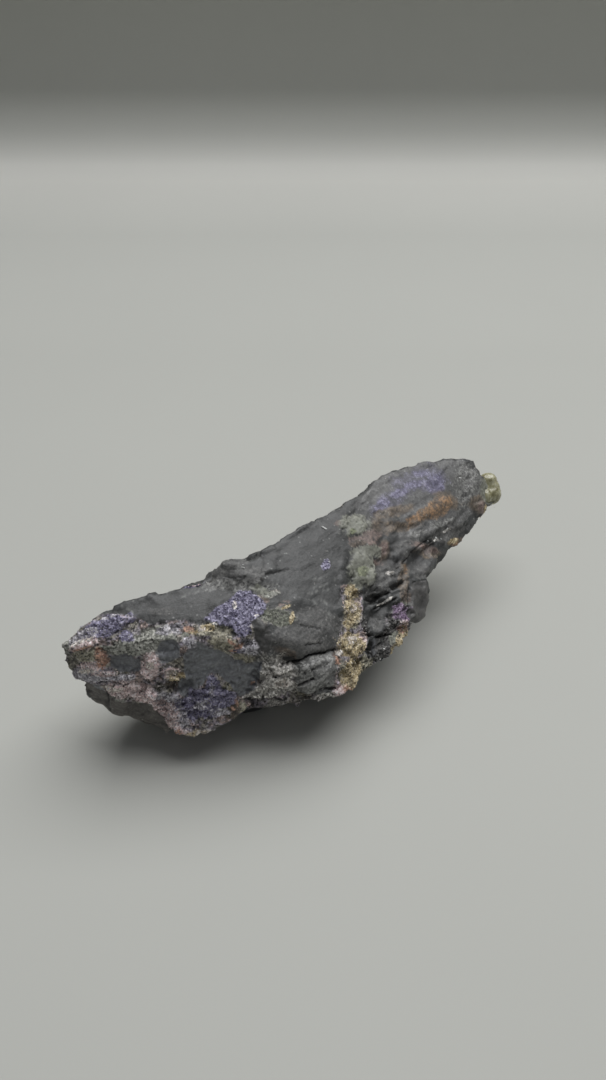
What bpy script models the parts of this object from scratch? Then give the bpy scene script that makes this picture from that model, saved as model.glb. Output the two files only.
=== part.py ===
# Phosphosiderite specimen: one broken slab of dark phosphate rock, rough on every side.
# It is grown together, so it is a single closed solid that rests on one flat facet.
# Frame: +X from the blunt near end to the far tip, +Z up, origin under the middle on the resting facet.
import bpy
import bmesh
from mathutils import Vector, noise

MM = 0.001

# Driving sizes
LENGTH = 132.0 * MM          # near end to far tip, used to size the grain below
VOXEL = LENGTH / 165         # step of the surface net before it is thinned, 0.8 mm
KEPT_TRIANGLES = 9400        # faces left after thinning
CHIP = 5.5 * MM              # width of one broken facet
CHIP_RELIEF = 0.70 * MM      # how far a facet stands in or out
GRAIN = 2.2 * MM             # width of the finer bumps
GRAIN_RELIEF = 0.22 * MM
FLOOR = -6.0 * MM            # height of the resting facet in the blocks' own frame

# Corners of the blocks that make up the slab, in millimetres.
NEAR_BLOCK = (
    (-68.4, 20.0, 21.3), (-67.5, 18.9, 24.5), (-61.0, 18.6, 28.3), (-54.4, 18.8, 30.0),  # rim at the back
    (-50.7, 14.2, 31.0), (-42.8, 13.3, 32.3), (-32.1, 10.7, 32.2), (-24.1, 1.7, 30.0),
    (-29.7, -6.2, 27.0), (-35.7, -4.2, 26.5), (-44.6, 0.2, 27.0), (-50.1, 3.9, 27.3),    # brow at the front
    (-55.5, 7.6, 26.8), (-63.0, 12.7, 24.8),
    (-67.6, 17.9, 19.0), (-67.0, 16.4, 15.0), (-62.0, 9.9, 16.3), (-57.1, 5.3, 14.5),  # ledge
    (-52.4, 0.7, 12.0), (-32.1, -9.2, 11.0),
)
NEAR_TOE = (
    (-49.5, 0.6, 14.0), (-42.0, -2.8, 17.0), (-36.7, -6.7, 12.0), (-32.0, -2.0, 10.0),
    (-51.5, -2.3, 2.5), (-49.0, -4.4, 2.0), (-45.6, -6.8, 2.5), (-41.6, -8.4, 4.0),
    (-38.1, -8.7, 7.0), (-52.7, 0.4, 9.0), (-40.0, 6.0, 2.0), (-50.0, 8.0, 3.0), (-33.0, -9.8, 9.0),
    (-31.0, -8.0, 8.0),
)
NEAR_BELLY = (
    (-66.6, 14.8, 11.3), (-64.8, 14.8, 8.5), (-61.2, 11.8, 5.8), (-58.4, 8.7, 3.3),
    (-54.4, 4.9, 2.0), (-52.1, 0.4, 1.5), (-65.2, 15.0, 15.0), (-60.0, 9.4, 14.5), (-54.0, 3.2, 12.5),
    (-57.0, 20.0, 2.0), (-44.0, 18.0, -3.0), (-52.0, 12.0, -4.0), (-47.0, 5.0, -3.5), (-42.0, 14.0, 18.0),
)
MIDDLE_SLAB = (
    (-21.7, 8.2, 34.5), (-18.2, 9.9, 34.5), (-11.5, 9.9, 35.0), (0.2, 12.8, 34.5),       # crest
    (10.0, 13.5, 34.0), (18.2, 16.5, 33.0),
    (-30.0, -6.6, 27.5), (-27.5, -10.0, 25.0), (-23.3, -11.9, 24.0), (-12.8, -11.4, 22.5),
    (-6.1, -6.8, 23.5), (2.1, 0.7, 26.5), (-31.8, -8.9, 22.0), (-29.0, 6.0, 31.0),
    (-33.4, -9.2, 12.0), (-35.7, -9.0, 8.0), (-28.4, -14.7, 7.5), (-25.3, -14.5, 8.0),   # lower lip
    (-18.1, -21.1, 8.0), (-11.0, -13.1, 18.0), (-14.6, -17.7, 14.0), (-11.4, -18.9, 8.0),
    (-24.0, 12.0, 14.0), (10.0, 16.0, 14.0),
)
HUMP = (
    (-31.6, 11.6, 31.6), (-29.2, 12.2, 33.6), (-26.8, 10.9, 35.2), (-23.6, 9.2, 34.6),
    (-27.0, 3.0, 31.0), (-20.0, 2.0, 31.5), (-29.0, 12.5, 22.0), (-20.0, 10.0, 22.0),
)
DARK_BLOCK = (
    (1.7, 1.0, 26.0), (5.6, -2.9, 24.0), (11.9, -6.6, 20.0), (11.3, -10.5, 17.0),
    (9.8, -14.9, 12.4), (5.2, -16.6, 12.0), (1.8, -17.8, 10.4), (-1.0, -19.2, 8.6), (-8.2, -18.0, 8.0),
    (7.5, -0.5, 24.2), (15.0, -3.6, 20.6), (-10.3, -12.3, 17.0), (-10.0, -4.0, 8.0),
    (12.0, -3.0, 9.0), (4.0, 6.0, 20.0),
)
EDGE_KNOB = (
    (12.6, -6.7, 20.5), (21.4, -6.8, 18.0), (21.4, -8.8, 15.8), (19.4, -11.4, 12.8),
    (14.4, -13.8, 10.8), (9.4, -14.1, 12.0), (14.0, -4.0, 10.0), (22.0, -3.0, 14.0), (16.8, -4.2, 20.0),
)
INNER_KNOB = (
    (20.7, -1.6, 20.5), (27.6, -2.8, 19.0), (31.2, -2.4, 15.8), (25.0, -5.6, 15.6),
    (18.2, -7.3, 18.0), (22.0, 3.0, 14.0), (28.0, 4.0, 15.0), (19.0, -1.0, 20.4), (16.0, -5.0, 19.6),
)
FAR_SLAB = (
    (10.4, 14.0, 33.5), (18.2, 16.7, 33.2), (25.2, 18.9, 33.0), (34.4, 20.4, 32.2),      # crest
    (44.4, 18.8, 31.3), (55.6, 17.9, 29.7), (60.8, 15.8, 27.5), (61.3, 13.8, 25.0),
    (55.3, 8.5, 20.5), (53.7, 4.6, 15.2), (44.6, 1.0, 13.8), (35.8, -0.6, 14.2),         # lower edge
    (29.2, -0.6, 20.0), (22.5, 0.4, 21.5), (14.4, -2.9, 21.5), (2.1, 0.7, 27.0),
    (12.0, 18.0, 18.0), (30.0, 20.0, 16.0), (48.0, 17.0, 16.0),
)
TAIL_NODULE = (
    (58.0, 13.8, 24.2), (64.4, 12.8, 22.2), (66.8, 11.3, 19.9), (66.6, 8.4, 17.8),
    (64.7, 6.9, 16.0), (61.9, 6.7, 14.9), (57.1, 5.4, 14.5), (51.7, 6.0, 15.5),
    (55.0, 9.5, 20.5), (54.0, 15.0, 18.0), (62.0, 12.5, 17.0),
)
BACK_NEAR = (
    (-65.0, 21.0, 19.0), (-52.0, 23.0, 20.5), (-36.0, 23.0, 20.0), (-22.0, 22.0, 19.5), (-4.0, 23.0, 21.5),
    (-60.0, 21.5, 9.0), (-46.0, 22.0, 2.0), (-26.0, 20.0, -3.0), (-4.0, 19.5, -4.5),
    (-60.0, 19.0, 25.0), (-42.0, 14.6, 27.5), (0.0, 14.5, 28.5), (-40.0, 8.0, 8.0), (0.0, 6.0, 4.0),
)
BACK_FAR = (
    (-8.0, 21.0, 19.5), (-4.0, 23.0, 21.5), (14.0, 24.0, 23.5), (34.0, 24.8, 23.5), (50.0, 21.5, 21.5),
    (57.5, 16.5, 20.0), (-4.0, 19.5, -4.5), (18.0, 20.0, -1.0), (34.0, 19.5, 6.5), (48.0, 16.5, 13.5),
    (0.0, 14.5, 28.5), (18.0, 18.0, 29.0), (36.0, 21.0, 28.5), (54.0, 18.0, 26.5),
    (-6.0, 8.0, 6.0), (0.0, 6.0, 4.0), (40.0, 10.0, 14.0),
)
BACK_SHOULDER = (
    (-32.0, 12.0, 25.0), (-22.0, 10.2, 27.0), (-10.0, 11.4, 29.5), (2.0, 14.6, 30.0), (18.0, 17.6, 31.0),
    (34.0, 20.8, 30.5), (50.0, 19.0, 28.5), (-20.0, 6.0, 24.0), (30.0, 10.0, 24.0), (-26.0, 18.0, 16.0),
    (0.0, 20.0, 18.0), (34.0, 23.0, 20.0), (52.0, 18.5, 22.0),
)
NEAR_SHOULDER = (
    (-63.0, 18.4, 25.5), (-54.0, 18.3, 28.3), (-46.0, 14.4, 29.2), (-35.0, 11.0, 28.6), (-63.0, 20.0, 20.0),
    (-50.0, 21.5, 21.5), (-34.0, 19.0, 22.0), (-50.0, 8.0, 22.0), (-34.0, 4.0, 22.0), (-61.0, 15.0, 18.0),
    (-28.0, 14.0, 24.0), (-28.0, 8.0, 29.5),
)
NEAR_CORE = (
    (-63.0, 20.5, 15.0), (-55.0, 20.5, 22.0), (-48.0, 16.0, 24.5), (-30.0, 11.0, 28.0), (-26.0, 2.0, 27.5),
    (-31.0, -4.0, 23.0), (-45.0, 3.0, 22.0), (-58.0, 14.0, 19.0), (-56.0, 10.0, 6.0), (-50.0, 2.0, 4.0),
    (-42.0, -5.0, 6.0), (-34.0, -6.0, 9.0), (-57.0, 19.0, 8.0), (-30.0, 15.0, 18.0),
    (-42.0, 11.0, -8.0), (-40.0, 5.0, -8.0), (-28.0, 1.0, -8.0), (-28.0, 14.0, -8.0),
)
MIDDLE_CORE = (
    (-28.0, 10.0, 30.0), (-10.0, 9.0, 31.0), (8.0, 11.0, 30.0), (20.0, 13.0, 28.0), (-28.0, -4.0, 25.0),
    (-20.0, -9.0, 21.0), (-8.0, -9.0, 20.0), (4.0, -4.0, 20.0), (14.0, -2.0, 18.5), (-32.0, -6.0, 10.0),
    (-26.0, -11.0, 9.0), (-18.0, -16.0, 9.0), (-8.0, -15.0, 10.0), (0.0, -14.0, 11.0), (10.0, -10.0, 13.0),
    (18.0, -6.0, 15.0), (24.0, 14.0, 20.0), (-24.0, 14.0, 20.0), (0.0, 17.0, 18.0),
    (-30.0, 1.0, -8.0), (-22.0, -2.0, -8.0), (-6.0, -4.0, -8.0), (12.0, 0.0, -8.0), (23.0, 5.0, -8.0),
    (20.0, 12.0, -8.0), (-4.0, 13.0, -8.0), (-28.0, 14.0, -8.0),
)
FAR_CORE = (
    (8.0, 12.0, 30.0), (26.0, 16.0, 29.5), (44.0, 16.0, 27.5), (54.0, 14.0, 24.0), (56.0, 10.5, 20.0),
    (51.0, 6.0, 16.5), (36.0, 2.0, 16.0), (24.0, 0.0, 17.0), (16.0, -0.5, 19.0), (10.0, 4.0, 25.0),
    (12.0, 17.0, 20.0), (30.0, 20.5, 18.0), (46.0, 18.0, 18.0), (43.0, 12.0, 9.5), (38.0, 5.0, 10.5),
    (34.0, 14.0, 2.0),
    (23.0, 5.0, -8.0), (20.0, 12.0, -8.0), (12.0, 0.0, -8.0), (8.0, 13.0, -8.0),
)
BLOCKS = {
    "near_block": NEAR_BLOCK, "near_toe": NEAR_TOE, "near_belly": NEAR_BELLY, "middle_slab": MIDDLE_SLAB,
    "hump": HUMP, "dark_block": DARK_BLOCK, "edge_knob": EDGE_KNOB, "inner_knob": INNER_KNOB,
    "far_slab": FAR_SLAB, "tail_nodule": TAIL_NODULE, "back_near": BACK_NEAR, "back_far": BACK_FAR,
    "back_shoulder": BACK_SHOULDER, "near_shoulder": NEAR_SHOULDER, "near_core": NEAR_CORE,
    "middle_core": MIDDLE_CORE, "far_core": FAR_CORE,
}

# Cracks that are wide enough to reach into the stone: the mouth's two ends, the line the crack
# runs in to, and its width at the mouth, in millimetres.
CRACKS = {
    "ledge_crack": ((-31.5, -10.6, 17.4), (-13.4, -13.8, 18.6), (2.5, 4.5, -2.5), 1.0),
    "crest_crack": ((-20.8, 8.8, 34.8), (-11.5, 7.2, 33.8), (0.9, 1.8, -2.4), 0.7),
    "lip_crack": ((17.5, -3.6, 19.6), (30.6, 0.2, 20.0), (1.8, 3.2, -2.5), 0.7),
    "dark_gap": ((0.6, -7.6, 20.4), (9.8, -7.2, 18.6), (2.0, 4.0, -4.0), 1.0),
}


def clearScene():
    for ob in list(bpy.data.objects):
        bpy.data.objects.remove(ob, do_unlink=True)


def newCollection(name):
    coll = bpy.data.collections.new(name)
    bpy.context.scene.collection.children.link(coll)
    return coll


def hullObject(name, corners, coll):
    """A broken block: the tight skin around its corners."""
    bm = bmesh.new()
    for corner in corners:
        bm.verts.new(Vector(corner) * MM)
    result = bmesh.ops.convex_hull(bm, input=bm.verts)
    inner = [g for g in result["geom_interior"] if isinstance(g, bmesh.types.BMVert)]
    bmesh.ops.delete(bm, geom=inner, context="VERTS")
    bmesh.ops.recalc_face_normals(bm, faces=bm.faces)
    mesh = bpy.data.meshes.new(name)
    bm.to_mesh(mesh)
    bm.free()
    ob = bpy.data.objects.new(name, mesh)
    coll.objects.link(ob)
    return ob


def crackCorners(start, end, inward, width):
    """A wedge: wide at the mouth, closing to a line inside the stone."""
    start = Vector(start)
    end = Vector(end)
    inward = Vector(inward)
    across = (end - start).cross(inward).normalized() * width
    mouth = -0.45 * inward
    middle = (start + end) / 2
    return (
        start + mouth, end + mouth, middle + mouth + across, middle + mouth - across,
        start + 0.3 * inward, end + 0.3 * inward, middle + inward,
    )


def markTool(ob):
    ob.hide_render = True
    ob.display_type = "WIRE"


def addBoolean(ob, tool, operation):
    mod = ob.modifiers.new(tool.name, "BOOLEAN")
    mod.object = tool
    mod.operation = operation
    mod.solver = "EXACT"


def bakeModifiers(ob):
    """Keep the evaluated mesh and drop the modifiers that made it."""
    evaluated = ob.evaluated_get(bpy.context.evaluated_depsgraph_get())
    mesh = bpy.data.meshes.new_from_object(evaluated)
    ob.modifiers.clear()
    ob.data = mesh


def brokenRelief(point):
    """Facets broken along cells, with a finer grain on them."""
    wide = point / (CHIP * 2.5)
    warp = Vector([noise.noise(wide + Vector((7.3 * i, 0, 0))) for i in range(3)]) * CHIP * 0.8
    distance, cells = noise.voronoi((point + warp) / CHIP)
    facet = noise.noise(cells[0] * 3.7)
    edge = min(distance[1] - distance[0], 0.5)
    grain = noise.fractal(point / GRAIN, 1.0, 2.1, 3)
    return CHIP_RELIEF * (facet * 1.6 * edge / 0.5 - 0.25) + GRAIN_RELIEF * grain


def roughen(mesh):
    bm = bmesh.new()
    bm.from_mesh(mesh)
    moves = []
    for vert in bm.verts:
        outward = sum((face.normal for face in vert.link_faces), Vector())
        moves.append(outward.normalized() * brokenRelief(vert.co))
    for vert, move in zip(bm.verts, moves):
        vert.co += move
    bm.to_mesh(mesh)
    bm.free()


def keepLargestShell(bm):
    left = set(bm.verts)
    shells = []
    while left:
        stack = [left.pop()]
        shell = set(stack)
        while stack:
            for edge in stack.pop().link_edges:
                for vert in edge.verts:
                    if vert not in shell:
                        shell.add(vert)
                        stack.append(vert)
        left -= shell
        shells.append(shell)
    shells.sort(key=len, reverse=True)
    for shell in shells[1:]:
        bmesh.ops.delete(bm, geom=list(shell), context="VERTS")


def cutFoot(mesh):
    """Cut the underside flat at the floor, close it, and set the origin under the middle."""
    bm = bmesh.new()
    bm.from_mesh(mesh)
    keepLargestShell(bm)
    geom = list(bm.verts) + list(bm.edges) + list(bm.faces)
    bmesh.ops.bisect_plane(
        bm, geom=geom, dist=1e-7, plane_co=(0, 0, FLOOR), plane_no=(0, 0, -1), clear_outer=True
    )
    rim = [edge for edge in bm.edges if edge.is_boundary]
    bmesh.ops.triangle_fill(bm, edges=rim, use_beauty=True, normal=(0, 0, -1))
    bmesh.ops.triangulate(bm, faces=bm.faces)
    keepLargestShell(bm)
    bmesh.ops.recalc_face_normals(bm, faces=bm.faces)
    if bm.calc_volume(signed=True) < 0:
        bmesh.ops.reverse_faces(bm, faces=bm.faces)
    low = Vector([min(v.co[i] for v in bm.verts) for i in range(3)])
    high = Vector([max(v.co[i] for v in bm.verts) for i in range(3)])
    middle = (low + high) / 2
    bmesh.ops.translate(bm, verts=bm.verts, vec=(-middle.x, -middle.y, -FLOOR))
    bm.to_mesh(mesh)
    bm.free()


def stoneMaterial():
    mat = bpy.data.materials.new("dark_phosphate_rock")
    mat.use_nodes = True
    shader = mat.node_tree.nodes["Principled BSDF"]
    shader.inputs["Base Color"].default_value = (0.09, 0.092, 0.09, 1)
    shader.inputs["Roughness"].default_value = 0.6
    shader.inputs["Metallic"].default_value = 0.0
    return mat


def buildSpecimen():
    stoneColl = newCollection("phosphosiderite_specimen")
    toolColl = newCollection("tools")
    names = list(BLOCKS)
    rock = hullObject("specimen_rock", BLOCKS[names[0]], stoneColl)
    for name in names[1:]:
        tool = hullObject(name, BLOCKS[name], toolColl)
        markTool(tool)
        addBoolean(rock, tool, "UNION")
    for name, crack in CRACKS.items():
        tool = hullObject(name, crackCorners(*crack), toolColl)
        markTool(tool)
        addBoolean(rock, tool, "DIFFERENCE")
    net = rock.modifiers.new("net", "REMESH")
    net.mode = "VOXEL"
    net.voxel_size = VOXEL
    bakeModifiers(rock)
    roughen(rock.data)
    thin = rock.modifiers.new("thin", "DECIMATE")
    thin.ratio = KEPT_TRIANGLES / (2 * len(rock.data.polygons))
    bakeModifiers(rock)
    cutFoot(rock.data)
    rock.data.materials.clear()
    rock.data.materials.append(stoneMaterial())
    return rock


clearScene()
buildSpecimen()
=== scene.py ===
import math

import bmesh
import bpy
import numpy as np
from mathutils import Matrix, Vector, noise
from mathutils.bvhtree import BVHTree
from mathutils.kdtree import KDTree


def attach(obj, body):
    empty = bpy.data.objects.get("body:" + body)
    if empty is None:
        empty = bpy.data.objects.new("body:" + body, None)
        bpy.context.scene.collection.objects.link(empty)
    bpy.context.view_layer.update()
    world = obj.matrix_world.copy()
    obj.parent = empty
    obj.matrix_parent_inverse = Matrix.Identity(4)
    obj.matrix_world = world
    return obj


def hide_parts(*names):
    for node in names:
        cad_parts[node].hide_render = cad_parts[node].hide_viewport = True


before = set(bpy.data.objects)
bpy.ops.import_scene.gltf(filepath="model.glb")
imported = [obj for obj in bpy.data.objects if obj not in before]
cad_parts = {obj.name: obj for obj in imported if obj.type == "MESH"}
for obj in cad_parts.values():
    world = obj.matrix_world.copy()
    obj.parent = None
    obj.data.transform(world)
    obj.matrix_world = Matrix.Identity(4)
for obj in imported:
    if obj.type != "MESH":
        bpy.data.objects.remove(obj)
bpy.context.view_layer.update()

mm = 0.001                    # metres; lengths below are in mm unless a note says otherwise
stoneNode = "specimen_rock"
bodyName = "root"
allAxes = {"use_axis_x": True, "use_axis_y": True, "use_axis_z": True}


def toLinear(hexColour):
    channels = [int(hexColour[i:i + 2], 16) / 255 for i in (1, 3, 5)]
    return [c / 12.92 if c <= 0.04045 else ((c + 0.055) / 1.055) ** 2.4 for c in channels] + [1.0]


def link(tree, node, links):
    # a node given as a source stands for its first output
    for socket, source in links.items():
        tree.links.new(getattr(source, "outputs", [source])[0], node.inputs[socket])


def addNode(tree, kind, settings={}, links={}):
    # In Mix, 0 is the factor, 2 and 3 the values, 6 and 7 the colours, and output 2 the colour.
    # In Map Range, 0 is the value, 1 and 2 what it runs from and to, 3 and 4 what that becomes.
    node = tree.nodes.new("ShaderNode" + kind)
    for key, value in settings.items():
        if isinstance(key, str) and hasattr(node, key):
            setattr(node, key, value)
        else:
            node.inputs[key].default_value = value
    link(tree, node, links)
    return node


def newMaterial(name, ior):
    material = bpy.data.materials.new(name)
    material.use_nodes = True
    tree = material.node_tree
    shader = tree.nodes["Principled BSDF"]
    shader.inputs["IOR"].default_value = ior
    return material, tree, shader, addNode(tree, "TexCoord").outputs["Object"]


def setStops(ramp, positions, hexColours):
    # the ramp's own two stops take the first and the last colour
    stops = ramp.color_ramp.elements
    stops[0].position, stops[1].position = positions[0], positions[-1]
    stops[0].color, stops[1].color = toLinear(hexColours[0]), toLinear(hexColours[-1])
    for position, hexColour in zip(positions[1:-1], hexColours[1:-1]):
        stops.new(position).color = toLinear(hexColour)


def perMetre(width):
    # the scale of a pattern whose repeats are this many mm wide
    return 1000 / width


def smoothStep(low, high, values):
    t = np.clip((values - low) / (high - low), 0.0, 1.0)
    return t * t * (3 - 2 * t)


def noiseAt(spots, size, shift=0.0, stretch=(1, 1, 1)):
    # soft noise from -1 to 1 at spots in millimetres; size is the width of one swell
    placed = (spots / (np.array(stretch) * size) + shift).tolist()
    return np.fromiter((noise.noise(p) for p in placed), float, len(placed))


def cobblesAt(spots, size, shift=0.0):
    # 1 at the middle of a cell, falling to 0 at its edges
    placed = (spots / size + shift).tolist()
    found = np.array([noise.voronoi(p)[0][:2] for p in placed])
    return np.clip((found[:, 1] - found[:, 0]) / 0.55, 0, 1)


def remeshed(bm, voxel, softening):
    # one closed even skin round the shapes in bm, softened by a few passes
    rough = bpy.data.meshes.new("rough")
    bm.to_mesh(rough)
    bm.free()
    holder = bpy.data.objects.new("rough", rough)
    bpy.context.scene.collection.objects.link(holder)
    remesh = holder.modifiers.new("voxels", "REMESH")
    remesh.mode = "VOXEL"
    remesh.voxel_size = voxel * mm
    evaluated = holder.evaluated_get(bpy.context.evaluated_depsgraph_get())
    mesh = bpy.data.meshes.new_from_object(evaluated)
    bpy.data.objects.remove(holder)
    bpy.data.meshes.remove(rough)
    bm = bmesh.new()
    bm.from_mesh(mesh)
    for step in range(softening):
        bmesh.ops.smooth_vert(bm, verts=bm.verts, factor=0.5, **allAxes)
    bmesh.ops.recalc_face_normals(bm, faces=bm.faces)
    bm.to_mesh(mesh)
    bm.free()
    return mesh


def linkPiece(name, mesh, material):
    piece = bpy.data.objects.new(name, mesh)
    bpy.context.scene.collection.objects.link(piece)
    mesh.materials.clear()
    mesh.materials.append(material)
    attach(piece, bodyName)
    return piece


view = {
    "place": (-0.11529, -0.13790, 0.17500),   # metres
    "turn": -37.0,                            # degrees, left of looking along +Y is negative
    "lookDown": 37.0,
    "focalPixels": 935.0,
    "width": 606,
    "height": 1080,
    "sensor": 36.0,                           # mm
    "clip": (0.01, 20),                       # metres
}
viewPlace = Vector(view["place"])
viewTurn = math.radians(view["turn"])
viewPitch = math.radians(view["lookDown"])
viewRight = Vector((math.cos(viewTurn), math.sin(viewTurn), 0))
viewLevel = Vector((-math.sin(viewTurn), math.cos(viewTurn), 0))
viewForward = viewLevel * math.cos(viewPitch) - Vector((0, 0, math.sin(viewPitch)))
viewUp = viewLevel * math.sin(viewPitch) + Vector((0, 0, math.cos(viewPitch)))


def addCamera():
    lens = bpy.data.cameras.new("camera")
    lens.sensor_width = view["sensor"]
    lens.lens = view["sensor"] * view["focalPixels"] / view["height"]
    lens.clip_start, lens.clip_end = view["clip"]
    camera = bpy.data.objects.new("camera", lens)
    placed = Matrix((viewRight, viewUp, -viewForward)).transposed().to_4x4()
    placed.translation = viewPlace
    camera.matrix_world = placed
    bpy.context.scene.collection.objects.link(camera)
    bpy.context.scene.camera = camera


def lookRay(across, down):
    # direction from the camera through a pixel of the frame
    right = (across - view["width"] / 2) / view["focalPixels"]
    rise = (view["height"] / 2 - down) / view["focalPixels"]
    return (viewForward + viewRight * right + viewUp * rise).normalized()


skin = {
    "voxel": 0.66,            # between points on the plain parts; worked parts get half of it
    "softening": 2,           # passes that take the voxel steps off
    "foot": (0.25, 1.75),     # heights above the rest plane where relief starts and is whole
    "middle": (285, 605),     # pixel at the middle of the stone
    "nudge": (20, 0.01),      # tries and share of the way there, for a pixel just off the stone
    "turnedAway": (-0.05, -0.35),   # facing at which a side starts to be unseen and is wholly unseen
    # what makes the edges of marks uneven: share, width and place in the noise
    "warp": ((0.26, 3.0, 11.3), (0.26, 1.2, 5.7), (0.18, 0.6, 2.9)),
    "reach": (1.3, 3),        # how deep an ellipse reaches: share of its size, and mm more
    "outlineReach": (0.7, 4, 3),    # the same for an outline, and the mm over which that ends
    "outlineSoft": 5,         # pixels
    "patch": (13.0, 5.0, 0.15),     # widths of the unseen sides' patches, and how softly they end
    "busy": (0.3, 0.4),       # where faces are cut once more, and how much that is smoothed
    "calmPasses": 50,         # passes that even out the faces that broke smooth
    "calmLimit": 0.4,         # the most that they move a point
    "foldPasses": 90,         # the same for the filled folds
    "foldLimit": 0.9,
    "foldFill": 1.6,          # how far past the even surface a fold is filled
    "foldUnshaded": 0.8,         # share of the painted shade in the dips that stays out of it
    # each relief is its height, then its width
    "swell": (0.16, 5.0),
    "bigBlocks": (0.75, 6.0),
    "smallBlocks": (0.42, 2.4),
    "calmBlocks": (0.05, 2.0),
    "blockStretch": (2.0, 1.3, 0.7),    # along X, Y and Z
    "blockShare": (0.40, 0.55, 0.85),   # on plain faces, added on rough ones, lost on quiet ones
    "layers": (0.12, 2.2),
    "layersLeast": 0.05,      # their height where nothing is broken
    "layerStretch": (5.0, 2.2, 0.55),   # how the layers stretch along X, Y and Z
    "ripple": (0.06, 0.9),
    "calmLoss": (0.8, 0.7),   # share of the swell and of the ripple that calm faces lose
    "cobbles": (0.35, 0.5, 0.45),   # level taken as their foot; height and width of their own ripple
    "pits": ((0.6, 3, 0.07), (0.4, 14, 0.20)),   # share, passes and full depth of the fine and broad dips that get painted shade
}

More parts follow.
